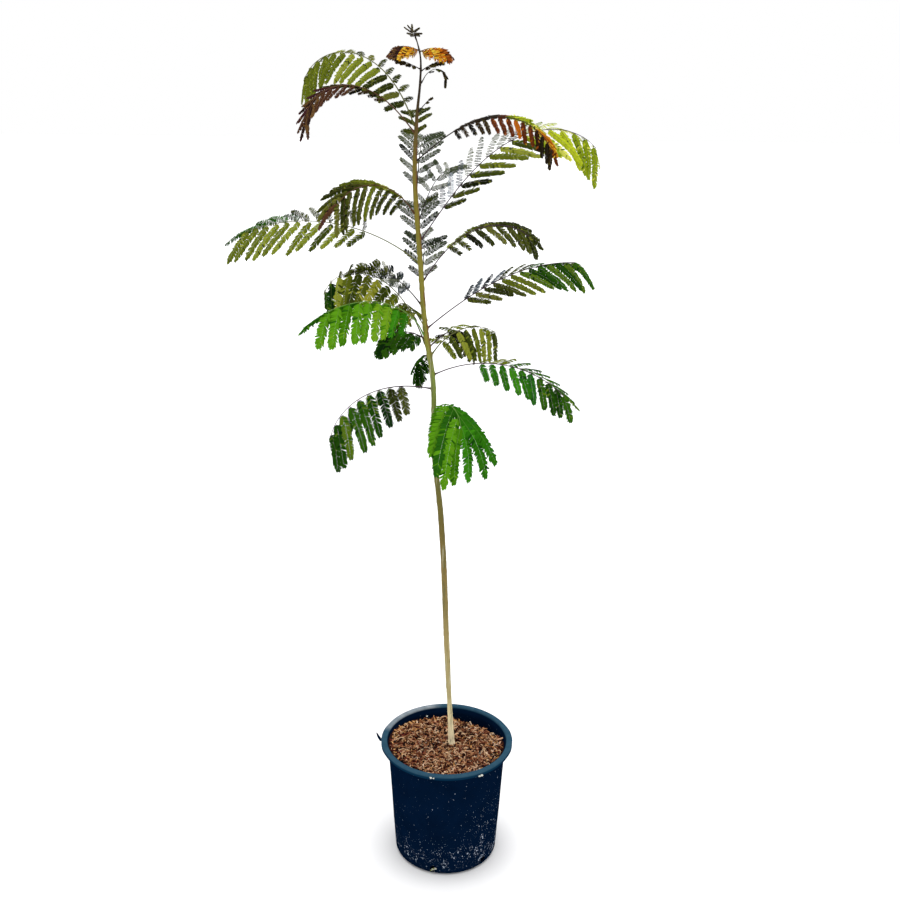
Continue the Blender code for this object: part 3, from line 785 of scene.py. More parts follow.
@dataclass
class Mix:
    """Potting mix: an uneven bed under a cover of bark chips, curled fibres and a few pale crumbs."""

    pot: Pot
    height: float = 0.254
    block_foot: float = 0.200
    cover: float = 0.002
    wall_gap: float = 0.0004
    side_rise: float = 0.019
    end_rise: float = 0.0075
    left_rise: float = 0.002
    back_drop: float = 0.005
    corner_drop: float = 0.030
    ripple: float = 0.0015
    waves: tuple[Pair, Pair] = ((61.0, 1.3), (53.0, -0.4))
    flat_radius: float = 0.045
    foot: Pair = (0.0105, 0.0170)
    chips: int = 2900
    fibres: int = 1300
    crumbs: int = 26
    chip_tints: tuple[Colour, ...] = (
        (40, 14, 12), (106, 54, 36), (152, 100, 74), (114, 42, 32), (228, 178, 142), (208, 152, 92),
        (226, 168, 110), (20, 8, 8), (250, 220, 190))
    chip_odds: tuple[float, ...] = (0.18, 0.18, 0.15, 0.07, 0.12, 0.09, 0.045, 0.15, 0.06)
    chip_right: tuple[float, ...] = (0.0, 0.0, 0.2, -1.2, 0.3, 1.2, -2.2, 0.0, 0.4)
    chip_back: tuple[float, ...] = (0.0, 0.0, 0.0, 0.2, -0.2, 0.2, 2.6, 0.0, -0.3)
    # Painted shade: middle and size of a spot where the darkest chips gather, for the shadow in a hollow of
    # the mix.
    painted_hollow_shade: Pair = (0.034, 0.048)
    painted_shade_radius: float = 0.026
    fibre_tints: tuple[Colour, ...] = ((248, 206, 164), (208, 150, 106), (150, 90, 60), (66, 28, 20))
    crumb_pale: Colour = (226, 226, 214)
    crumb_green: Colour = (150, 160, 84)
    lip_crumbs: tuple[Triple, ...] = (
        (0.1456, 256.8, 0.2752), (0.1458, 259.2, 0.2748), (0.1475, 299.0, 0.2712), (0.1475, 301.2, 0.2716))
    chip_inset: float = 0.006
    chip_rise: Pair = (-0.0020, 0.0030)
    chip_sizes: tuple[Pair, Pair, Pair] = ((0.0026, 0.0090), (0.0010, 0.0030), (0.0005, 0.0014))
    chip_slant: float = 0.42
    chip_spin: float = 0.5
    painted_shade_pull: float = 4.0
    fibre_inset: float = 0.012
    fibre_lengths: Pair = (0.007, 0.020)
    fibre_bend: float = 2.6
    fibre_hump: float = 0.0065
    fibre_rise: float = 0.0035
    fibre_radii: Pair = (0.00070, 0.00160)
    unrest: float = 0.0016
    seed: int = 41

    def level(self, x: Array, y: Array) -> Array:
        """Height of the mix: a dish that climbs with the square of the way to the wall, less behind.

        Args:
            x: First coordinate.
            y: Second coordinate.
        Returns:
            The height there.
        """
        away = np.hypot(x - self.foot[0], y - self.foot[1])
        blend = np.clip((away - self.flat_radius) / (0.5 * self.flat_radius), 0.0, 1.0)
        right, back = x / self.pot.wall_top_radius, y / self.pot.wall_top_radius
        dish = self.side_rise * right**2 + self.end_rise * back**2 - self.left_rise * right
        behind = np.maximum(back, 0.0)
        dish = dish - behind * (self.back_drop * behind + self.corner_drop * np.maximum(right, 0.0))
        (fx, px), (fy, py) = self.waves
        return self.height + blend * (dish + self.ripple * np.sin(fx * x + px) * np.cos(fy * y + py))

    def rim(self, turns: Array) -> Array:
        """Radius at which the bed meets the pot's wall, found by going to and fro between the two.

        Args:
            turns: Turns about the upright axis.
        Returns:
            The radius at each of them.
        """
        radius = np.full(np.shape(turns), self.pot.wall_top_radius)
        for _ in range(4):
            level = self.level(radius * np.cos(turns), radius * np.sin(turns))
            radius = self.pot.inner_radius(level - self.cover) - self.wall_gap
        return radius

    def bed(self) -> Surface:
        """A turned block whose top lies the cover's depth below the level, with fine unrest.

        Returns:
            The bed.
        """
        turns = -np.arange(180) * TURN / 180
        foot = self.pot.inner_radius(self.block_foot) - self.wall_gap
        buried = np.array((0.02, 1.0))[:, None] * np.full(len(turns), foot)
        radii = np.concatenate((buried, np.linspace(1.0, 0.02, 46)[:, None] * self.rim(turns)))
        x, y = radii * np.cos(turns), radii * np.sin(turns)
        z = self.level(x, y) - self.cover + self.unrest * ripples(x * 260, y * 260, 9, 3)
        z[:2] = self.block_foot
        return Surface.skins(np.stack((x, y, z), axis=-1)[None, :, ::-1])

    def scatter(self, count: int, draw: Draw, inset: float) -> Array:
        """Points spread evenly over the mix.

        Args:
            count: How many.
            draw: Source of the random draws.
            inset: Bare margin along the pot's wall.
        Returns:
            Points on the mix.
        """
        turn = TURN * draw.random(count)
        radius = (self.rim(turn) - inset) * np.sqrt(draw.random(count))
        x, y = radius * np.cos(turn), radius * np.sin(turn)
        return np.column_stack((x, y, self.level(x, y)))

    def chip_surface(self, draw: Draw) -> Surface:
        """Bark chips: boxes whose eight corners are pushed about, laid at every slant.

        A chip's tint is the one with the highest sum of its odds' logarithm, its pulls to the right and
        to the back, and a Gumbel draw, which deals the tints by odds that change with the place. About one
        spot the two darkest tints are pulled up as well: painted shade for a hollow that the level doesn't
        shape.

        Args:
            draw: Source of the random draws.
        Returns:
            All the chips.
        """
        count = self.chips
        middle = self.scatter(count, draw, self.chip_inset)
        middle[:, 2] += draw.uniform(*self.chip_rise, count)
        size = np.column_stack([draw.uniform(low, high, count) for low, high in self.chip_sizes])
        signs = np.array([(a, b, c) for c in (-1, 1) for b in (-1, 1) for a in (-1, 1)], float)
        corners = signs[None] * draw.uniform(0.45, 1.0, (count, 8, 3)) * size[:, None]
        turn, slant = TURN * draw.random(count), draw.normal(0, self.chip_slant, count)
        spin = draw.normal(0, self.chip_spin, count)[:, None]
        along = round_points(np.cos(slant), turn, np.sin(slant))
        level = np.column_stack((-np.sin(turn), np.cos(turn), np.zeros(count)))
        across = swung(level, np.cross(along, level), spin)
        axes = np.stack((along, across, np.cross(along, across)), axis=1)
        points = middle[:, None] + corners @ axes
        faces = np.array(
            ((0, 2, 3, 1), (4, 5, 7, 6), (0, 1, 5, 4), (1, 3, 7, 5), (3, 2, 6, 7), (2, 0, 4, 6)))
        pulls = np.array((self.chip_right, self.chip_back)) / self.pot.wall_top_radius
        odds = np.log(self.chip_odds) + middle[:, :2] @ pulls
        # Painted shade: near this spot the two darkest chip tints grow likelier, for the shadow in a hollow
        # that the level doesn't shape.
        away = np.linalg.norm(middle[:, :2] - np.array(self.painted_hollow_shade), axis=1) / self.painted_shade_radius
        odds[:, (0, 7)] += self.painted_shade_pull * np.exp(-away[:, None] ** 2)
        return Surface.copies(points, (odds + draw.gumbel(size=odds.shape)).argmax(axis=1), faces)

    def fibre_surface(self, draw: Draw) -> Surface:
        """Coir fibres: thin tubes along arcs that curl up out of the chips and down again.

        Args:
            draw: Source of the random draws.
        Returns:
            All the fibres.
        """
        each = (self.fibres, 1)
        share = np.linspace(0.0, 1.0, 9)[None]
        steps = draw.uniform(*self.fibre_lengths, each) / (share.size - 1)
        bend = draw.normal(0.0, self.fibre_bend, each)
        heading = TURN * draw.random(each) + bend * (share - 0.5)
        start = self.scatter(self.fibres, draw, self.fibre_inset)
        x = start[:, :1] + np.cumsum(np.cos(heading), axis=1) * steps
        y = start[:, 1:2] + np.cumsum(np.sin(heading), axis=1) * steps
        reach = self.rim(np.arctan2(y, x)) - 0.003
        shrink = np.minimum(1.0, reach / np.maximum(np.hypot(x, y), 1e-6))
        hump = draw.uniform(0.0, self.fibre_hump, each) * np.sin(math.pi * share)
        z = start[:, 2:] + hump + draw.uniform(0.0, self.fibre_rise, each)
        lines = np.stack((x * shrink, y * shrink, z), axis=-1)
        radii = draw.uniform(*self.fibre_radii, each) * (1.0 - 0.7 * np.abs(2 * share - 1) ** 3)
        rings = tube_rings(lines, radii, 3, UP)
        return Surface.skins(rings, draw.integers(0, len(self.fibre_tints), self.fibres))

    def crumb_surface(self, draw: Draw) -> Surface:
        """Pale crumbs on the mix, four on the lip and a few at a drain hole.

        Args:
            draw: Source of the random draws.
        Returns:
            All the crumbs.
        """
        spots = self.scatter(self.crumbs, draw, 0.010) + 0.003 * UP
        spots[0] = (-0.047, 0.112, 0.266)
        radii, turns, heights = np.array(self.lip_crumbs).T
        lip = round_points(radii, np.radians(turns), heights)
        hole = round_points(0.1155, np.radians(self.pot.drain_first_angle), 0.014)
        hole = hole + draw.normal(0.0, 0.0050, (13, 3)) * np.array((1.0, 0.15, 1.0))
        middles = np.concatenate((spots, lip, hole))
        sizes = np.concatenate(((0.0036,), draw.uniform(0.0007, 0.0020, len(spots) - 1),
                                (0.0048, 0.0038, 0.0038, 0.0042), draw.uniform(0.0014, 0.0028, len(hole))))
        tints = np.concatenate((np.zeros(len(spots) + len(lip), int), draw.integers(0, 2, len(hole))))
        rows = np.radians((-55.0, 0.0, 55.0))[:, None]
        ball = round_points(np.cos(rows), np.arange(6) * TURN / 6, np.sin(rows))
        lumps = ball[None] * draw.uniform(0.6, 1.0, (len(middles), 3, 6, 1)) * sizes[:, None, None, None]
        lumps[..., 2] *= 0.6
        return Surface.skins(middles[:, None, None] + lumps, tints)

    def build(self) -> list[Piece]:
        """Makes the bed and what lies on it.

        Returns:
            The pieces.
        """
        draw = np.random.default_rng(self.seed)

        def finishes(name: str, tints: tuple[Colour, ...], *values: float) -> list[Material]:
            """One plain material for each tint."""
            return [PlainFinish(f"{name}_{k + 1}", tint, *values).material() for k, tint in enumerate(tints)]

        crumb = [PlainFinish("crumb_pale", self.crumb_pale, 0.9).material(),
                 PlainFinish("crumb_green", self.crumb_green, 0.9).material()]
        made = [self.bed().to_object("mix_bed", [BedFinish().material()], True)]
        for name, surface, materials, smooth in (
                ("mix_chips", self.chip_surface, finishes("chip", self.chip_tints, 0.85, 0.08), False),
                ("mix_fibres", self.fibre_surface, finishes("fibre", self.fibre_tints, 0.8, 0.08), True),
                ("mix_crumbs", self.crumb_surface, crumb, False)):
            made.append(surface(draw).to_object(name, materials, smooth))
        for piece in made:
            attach(piece, "root")
        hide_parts("potting_mix")
        return made


@dataclass
class Stem:
    """The slim leaning stem, from its flared foot to the curled tip of the shoot.

    A station gives a height, the centre's x and y there, and the radius. A scar gives a height and a
    compass direction.
    """

    stations: tuple[tuple[float, float, float, float], ...] = (
        (0.2543, 0.0105, 0.0170, 0.0092), (0.2600, 0.0105, 0.0170, 0.0076),
        (0.2800, 0.0095, 0.0165, 0.0067), (0.5200, -0.0028, 0.0120, 0.0063),
        (0.8150, -0.0175, 0.0060, 0.0058), (0.9700, -0.0330, 0.0030, 0.0055),
        (1.1250, -0.0370, 0.0020, 0.0052), (1.2100, -0.0500, 0.0020, 0.0051),
        (1.3600, -0.0625, 0.0000, 0.0048), (1.5450, -0.0730, 0.0030, 0.0042),
        (1.6400, -0.0680, 0.0020, 0.0028), (1.6900, -0.0630, 0.0000, 0.0021),
        (1.7350, -0.0630, -0.0010, 0.0015), (1.7740, -0.0735, 0.0000, 0.0009))
    spacing: float = 0.045
    shoot_height: float = 1.640
    shoot_spacing: float = 0.015
    sides: int = 24
    row_spacing: float = 0.0016
    swelling: float = 0.0011
    swelling_length: float = 0.0048
    pinch_drop: float = 0.0075
    pinch_length: float = 0.0011
    ridges: float = 0.05
    grain: float = 0.025
    old_scars: tuple[Pair, ...] = (
        (0.335, 20.0), (0.405, 190.0), (0.470, 310.0), (0.540, 100.0), (0.615, 350.0), (0.690, 200.0),
        (0.735, 60.0), (0.775, 290.0), (0.850, 170.0), (0.915, 30.0), (0.985, 240.0))

    def read(self, heights: Array) -> tuple[Array, Array]:
        """Reads the smooth curves through the stations.

        Args:
            heights: Where they are read.
        Returns:
            The stem's centres and radii there.
        """
        rows = np.array(self.stations)
        values = smooth_curve(heights, rows[:, 0], rows[:, 1:])
        return np.column_stack((values[:, :2], heights)), values[:, 2]

    def seat(self, height: float) -> tuple[Array, float]:
        """Reads the straight runs between the solid's rings, on which the fronds sit.

        Args:
            height: Height of a frond.
        Returns:
            The stem's centre and radius there.
        """
        heights = [row[0] for row in self.stations[:3]]
        runs = ((self.shoot_height, self.spacing), (self.stations[-1][0], self.shoot_spacing))
        for end, spacing in runs:
            count = round((end - heights[-1]) / spacing)
            heights += list(np.linspace(heights[-1], end, count + 1)[1:])
        centres, radii = self.read(np.array(heights))
        x, y, z, radius = (np.interp(height, heights, column) for column in (*centres.T, radii))
        return np.array((x, y, z)), float(radius)

    def build(self, fronds: tuple[Frond, ...]) -> Piece:
        """Makes the stem with its bark's relief.

        The radius swells on a bell curve at each frond's seat and old scar, is pinched in a ring just
        below it, and carries shallow ridges that follow the stem. The pattern's share of the way round
        is a triangle wave, which has no jump where the last side meets the first.

        Args:
            fronds: The fronds that sit on the stem.
        Returns:
            The stem.
        """
        low, high = self.stations[0][0], self.stations[-1][0]
        heights = np.linspace(low, high, round((high - low) / self.row_spacing))
        centres, radii = self.read(heights)
        turns = np.arange(self.sides) * TURN / self.sides
        size = np.repeat(radii[:, None], self.sides, axis=1)
        size += radii[:, None] * self.ridges * ripples(turns[None] * 3.0, heights[:, None] * 30.0, 6, 11)
        size += radii[:, None] * self.grain * ripples(turns[None] * 2.0, heights[:, None] * 260.0, 8, 12)
        seats = [(f.height - 0.001, f.compass, 1.0) for f in fronds if f.slim == 1.0]
        seats += [(f.height, f.compass, 0.3) for f in fronds if f.slim < 1.0]
        seats += [(height, compass, 0.55) for height, compass in self.old_scars]
        for height, compass, amount in seats:
            facing = 0.35 + 0.65 * np.clip(np.cos(turns - math.radians(compass)), 0.0, 1.0)
            bell = np.exp(-(((heights - height) / self.swelling_length) ** 2))[:, None]
            below = heights - height + self.pinch_drop
            ring = np.exp(-((below / self.pinch_length) ** 2))[:, None]
            size += amount * self.swelling * (bell * facing - 0.35 * ring)
        rings = tube_rings(centres[None], size[None], self.sides, np.array((1.0, 0.0, 0.0)))
        rings[:, 0, :, 2] = low
        wave = np.arccos(np.cos(turns)) / TURN
        flow = np.stack(np.broadcast_arrays(wave, heights[:, None]), axis=-1).reshape(-1, 2)
        flow = np.concatenate((flow, ((0.5, low), (0.5, high))))
        stem = Surface.skins(rings).to_object("stem_bark", [BarkFinish().material(low, high)], True, flow)
        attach(stem, "root")
        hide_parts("stem")
        return stem


@dataclass(frozen=True)
class Frond:
    """A compound leaf. Lengths are in metres and angles in degrees.

    The compass runs from the right (0) by the back (90) and the left (180) to the front (270).
    The rib leaves the stem at the slope rise and ends at the slope fall; bend above 1 keeps it
    straight for longer. Blades leave the rib at the fan angle, lift above the frond's own plane
    and bend down by sag; each of these has one value at the foot and one at the tip. Roll turns
    the frond about its rib, the front side down. Twist turns the blades that point to the front,
    and those that point to the back, about their midribs until their upper faces lean forward.
    Slot is the end of the record's material slot. Near and far name the tints of the same two sides,
    with the share along the rib where each new one begins; far is like near where it is empty.
    Close tells how wide the leaflets of the two sides are against their spacing: below 1 they stand
    apart. Fold is how far they hang below their midrib, and full how far they reach past the blades.
    """

    name: str
    height: float
    compass: float
    length: float
    rise: float
    fall: float
    slot: str
    bend: float = 1.5
    bare: float = 0.15
    pairs: int = 9
    blade: float = 0.085
    width: float = 0.018
    roll: float = 0.0
    fan: Pair = (65, 30)
    lift: Pair = (-30, -45)
    sag: Pair = (10, 25)
    twist: Pair = (0, 0)
    slim: float = 1.0
    near: Zones = (DEEP,)
    far: Zones = ()
    rib: RibTint = RibTint.PLUM
    fold: float = 18.0
    close: Pair = (1.25, 1.25)
    full: float = 1.0


UPRIGHT = dict(roll=8, fan=(60, 38), lift=(25, 20), sag=(5, 15), twist=(45, 45), rib=RibTint.INK)
PALE = dict(UPRIGHT, width=0.013, fold=14, close=(0.92, 0.92))
BUD = dict(bare=0.1, pairs=4, blade=0.012, width=0.010, fan=(35, 15), slim=0.6, far=(BRONZE,),
           rib=RibTint.INK)
TUFT = dict(bend=1.1, bare=0.0, pairs=7, blade=0.035, width=0.013, roll=15, fan=(70, 35),
            lift=(-28, -36), sag=(10, 20), twist=(30, 60), slim=0.6, rib=RibTint.BROWN)
FRONDS = (
    Frond("frond_01_front", 1.055, 301, 0.130, 42, -82, "bright", bare=0.2, pairs=5, blade=0.150,
          width=0.024, fan=(66, 28), lift=(-35, -35), sag=(45, 30), twist=(65, 65), near=(BRIGHT,),
          far=(JADE,), rib=RibTint.GREEN, fold=10, close=(1.35, 1.35), full=1.15),
    Frond("frond_02_left", 1.100, 195, 0.252, 13, -75, "deep", bend=1.4, bare=0.22, blade=0.098,
          width=0.021, roll=10, fan=(100, 35), lift=(-50, -50), sag=(10, 15), twist=(0, 20),
          near=(MOSS, 0.15, DEEP), far=(DEEP,), close=(1.15, 1.15), full=1.1),
    Frond("frond_03_right", 1.130, 345, 0.285, 28, -42, "deep", bend=1.1, bare=0.32, pairs=10, blade=0.068,
          roll=35, lift=(-25, -38), sag=(10, 15), near=(JADE, 0.6, DEEP), far=(OLIVE, 0.25, DEEP)),
    # Its dark deep greens are partly painted shade: the frond hangs in shade behind the stem.
    Frond("frond_04_back", 1.165, 120, 0.072, 10, -80, "deep", bend=0.8, pairs=4, blade=0.048, width=0.022,
          lift=(-20, -40), sag=(30, 40)),
    Frond("frond_05_right", 1.170, 35, 0.178, 50, -32, "bright", bend=1.0, pairs=8, blade=0.076,
          width=0.016, roll=35, fan=(88, 55), lift=(-30, -35), sag=(10, 30), near=(OLIVE,),
          rib=RibTint.OLIVE),
    # Its dark deep greens are partly painted shade: the frond hangs in shade beneath the fronds above it.
    Frond("frond_06_left", 1.204, 178, 0.084, 32, -30, "deep", bend=1.0, bare=0.05, pairs=6, blade=0.060,
          width=0.021, roll=10, sag=(20, 30), twist=(0, 50), full=1.2),
    Frond("frond_07_left", 1.192, 152, 0.325, 66, -65, "olive", bend=1.6, bare=0.32, blade=0.080,
          width=0.022, roll=42, fan=(85, 45), lift=(-25, -30), sag=(10, 20), twist=(0, 60),
          near=(OLIVE, 0.12, MAIZE, 0.5, OLIVE, 0.85, DEEP), far=(SLATE, 0.3, MOSS), rib=RibTint.OLIVE,
          full=1.2),
    Frond("frond_08_left", 1.212, 215, 0.252, 68, -20, "bright", bend=0.72, bare=0.22, blade=0.090,
          width=0.021, roll=20, fan=(80, 42), lift=(-40, -40), sag=(10, 20), near=(JADE, 0.3, BRIGHT),
          far=(BRIGHT,), rib=RibTint.GREEN, close=(1.40, 1.40), full=1.2),
    Frond("frond_09_right", 1.225, 20, 0.345, 36, -4, "deep", bare=0.25, pairs=13, blade=0.088, width=0.015,
          roll=30, fan=(42, 36), lift=(-10, -45), sag=(10, 30), near=(MOSS, 0.3, OLIVE, 0.5, DEEP),
          far=(SLATE, 0.25, MOSS, 0.6, DEEP)),
    Frond("frond_10_back", 1.225, 112, 0.225, 24, -50, "olive", bare=0.2, pairs=8, blade=0.070, width=0.020,
          near=(OLIVE,), rib=RibTint.OLIVE, full=1.25),
    Frond("frond_11_back", 1.185, 55, 0.170, 25, -60, "deep", bare=0.25, pairs=8, blade=0.055,
          near=(MOSS,)),
    Frond("frond_12_back", 1.305, 88, 0.125, 60, 5, "olive", **PALE, bare=0.12, pairs=5, blade=0.060,
          near=(MOSS, 0.25, DUSK), full=1.15),
    Frond("frond_13_right", 1.322, 345, 0.256, 57, -36, "olive", bend=1.8, bare=0.28, blade=0.060,
          width=0.015, roll=30, fan=(58, 24), lift=(-20, -25), sag=(20, 25), twist=(0, 75), near=(MOSS,),
          far=(OLIVE, 0.4, MOSS), fold=32),
    Frond("frond_14_left", 1.356, 170, 0.370, 38, -22, "olive", bend=0.95, bare=0.30, pairs=12, blade=0.092,
          width=0.017, roll=32, lift=(-5, -25), sag=(10, 20), twist=(0, 60), near=(OLIVE,),
          far=(MOSS, 0.5, DEEP), rib=RibTint.OLIVE, close=(1.15, 0.95)),
    Frond("frond_15_right", 1.400, 10, 0.438, 55, -46, "lime", bend=2.4, bare=0.14, pairs=15, blade=0.096,
          width=0.016, roll=32, fan=(42, 48), lift=(5, -35), sag=(10, 30), twist=(0, 30),
          near=(MOSS, 0.2, OLIVE, 0.6, LIME), far=(SLATE, 0.2, DUSK, 0.55, LIME), close=(1.25, 0.60)),
    Frond("frond_16_back", 1.375, 92, 0.125, 62, 8, "dusk", **PALE, bare=0.12, pairs=5, blade=0.058,
          near=(DUSK,), full=1.15),
    Frond("frond_17_back", 1.272, 150, 0.165, 45, -14, "dusk", bare=0.25, pairs=8, blade=0.055, width=0.011,
          fan=(50, 25), lift=(-10, -10), twist=(50, 60), near=(DUSK, 0.3, MOSS), rib=RibTint.INK,
          close=(0.70, 0.70)),
    Frond("frond_18_left", 1.450, 218, 0.205, 53, -49, "olive", bend=1.25, pairs=10, blade=0.078,
          width=0.015, roll=45, lift=(-28, -38), sag=(25, 40), twist=(0, 60),
          near=(MOSS, 0.3, OLIVE, 0.55, MOSS), far=(OLIVE, 0.5, MOSS, 0.9, BRONZE), rib=RibTint.BROWN,
          fold=30),
    Frond("frond_19_back", 1.432, 62, 0.165, 58, 2, "dusk", **UPRIGHT, bare=0.2, pairs=5, blade=0.052,
          width=0.012, near=(MOSS, 0.3, DUSK), far=(DUSK,), fold=8, close=(0.85, 0.85)),
    Frond("frond_20_back", 1.470, 86, 0.185, 62, 5, "dusk", **PALE, pairs=7, blade=0.060, near=(DUSK,)),
    Frond("frond_21_right", 1.548, 335, 0.316, 39, -65, "amber", bend=2.0, bare=0.28, pairs=15, blade=0.043,
          width=0.012, roll=35, fan=(60, 30), lift=(-15, -25), sag=(20, 25), twist=(20, 50),
          near=(DARK, 0.38, RUST, 0.5, AMBER, 0.74, RUST, 0.9, DARK),
          far=(DARK, 0.38, RUST, 0.5, LIME, 0.75, AMBER), rib=RibTint.INK, fold=34),
    Frond("frond_22_back", 1.578, 92, 0.105, 58, 10, "deep", bend=1.0, pairs=4, blade=0.042, width=0.010,
          roll=8, lift=(20, 10), sag=(10, 20), twist=(30, 30), near=(MOSS,), rib=RibTint.OLIVE),
    Frond("frond_23_left", 1.600, 205, 0.272, 50, -79, "bronze", bend=1.8, bare=0.30, pairs=13, blade=0.050,
          width=0.011, roll=18, fan=(45, 20), lift=(-14, -20), sag=(10, 10), twist=(0, 40),
          near=(DARK, 0.3, BRONZE), far=(MOSS, 0.4, BRONZE), rib=RibTint.BROWN, fold=40),
    Frond("frond_24_left", 1.612, 160, 0.309, 67.5, -62.5, "olive", bend=1.62, bare=0.12, pairs=14,
          blade=0.070, width=0.015, roll=40, fan=(66, 28), lift=(-22, -34), sag=(30, 30), twist=(0, 40),
          near=(MOSS, 0.3, OLIVE), far=(MOSS, 0.6, OLIVE), rib=RibTint.OLIVE),
    Frond("young_25_right", 1.637, 325, 0.034, 45, 38, "dark", bare=0.55, pairs=2, blade=0.012, width=0.006,
          fan=(25, 15), sag=(5, 5), slim=0.8, near=(DARK,), rib=RibTint.INK),
    Frond("young_26_right", 1.688, 340, 0.076, 66, -95, "dark", bare=0.25, pairs=4, blade=0.020,
          width=0.007, fan=(55, 25), lift=(-10, -30), slim=0.6, near=(MOSS, 0.5, DARK), far=(DARK,),
          rib=RibTint.INK),
    Frond("young_27_right", 1.709, 20, 0.040, 36, 5, "dark", **BUD, near=(DARK,)),
    Frond("young_28_left", 1.712, 175, 0.040, 28, 10, "dark", **BUD, near=(DARK,)),
    Frond("young_29_right", 1.742, 350, 0.045, 26, -18, "amber", **TUFT, near=(AMBER, 0.75, RUST),
          far=(LIME, 0.2, AMBER, 0.7, BRONZE), full=1.15),
    Frond("young_30_left", 1.744, 185, 0.042, 28, -16, "bronze", **TUFT, near=(AMBER, 0.5, BRONZE)),
    Frond("young_31_tip", 1.764, 125, 0.016, 52, 52, "dark", bare=0.5, pairs=4, blade=0.021, width=0.006,
          fan=(110, 20), lift=(10, 10), sag=(0, 5), slim=0.5, near=(DARK,), rib=RibTint.INK),
)


@dataclass
class Blades:
    """All blades of one frond, as arrays with one row for each blade. Angles are in radians."""

    root: Array
    heading: Array
    side: Array
    over: Array
    fan: Array
    lift: Array
    sag: Array
    length: Array
    along: Array

    def lines(self, tilt: Array, steps: int = 12) -> Array:
        """Midribs: each starts along its fan and lift angles and turns down evenly by its sag.

        Args:
            tilt: Turn added to each blade's lift.
            steps: Straight runs on each midrib.
        Returns:
            Points of shape (blades, steps + 1, 3).
        """
        lift, fan = (self.lift + tilt)[:, None], self.fan[:, None]
        start = swung(self.heading, swung(self.side, self.over, lift), fan)
        downwards = np.arccos(np.clip(-start[:, 2], -1.0, 1.0))[:, None]
        axis = unit(np.cross(start, -UP))
        turns = np.minimum(self.sag[:, None] * (np.arange(steps) + 0.5) / steps, 0.9 * downwards)[..., None]
        ways = swung(start[:, None], np.cross(axis, start)[:, None], turns)
        walked = np.cumsum(ways, axis=1) * self.length[:, None, None] / steps
        return self.root[:, None] + np.concatenate((np.zeros_like(walked[:, :1]), walked), axis=1)


def walk(lines: Array, shares: Array) -> tuple[Array, Array]:
    """Points and directions at shares of the way along evenly walked lines.

    Args:
        lines: Points of shape (lines, knots, 3).
        shares: Shares of the way, from 0 to 1, the same for every line.
    Returns:
        Points and unit directions, each of shape (lines, shares, 3).
    """
    runs = lines.shape[1] - 1
    place = np.clip(shares, 0.0, 1.0) * runs
    k = np.minimum(place.astype(int), runs - 1)
    step = lines[:, k + 1] - lines[:, k]
    return lines[:, k] + step * (place - k)[None, :, None], unit(step)


LEAFLET = np.array((
    (0.0, -0.34, 0.0), (0.0, 0.36, 0.0), (0.40, 0.48, 0.0), (0.82, 0.42, -0.03), (1.0, 0.12, -0.07),
    (0.78, -0.42, -0.03), (0.36, -0.46, 0.0), (0.15, 0.0, 0.030), (0.70, 0.04, 0.020)))
LEAFLET_FACES = np.array((
    (0, 6, 7), (6, 5, 8), (6, 8, 7), (5, 4, 8), (4, 3, 8), (3, 2, 8), (2, 7, 8), (2, 1, 7), (1, 0, 7),
    (0, 1, 2), (0, 2, 6), (6, 2, 3), (6, 3, 5), (5, 3, 4)))


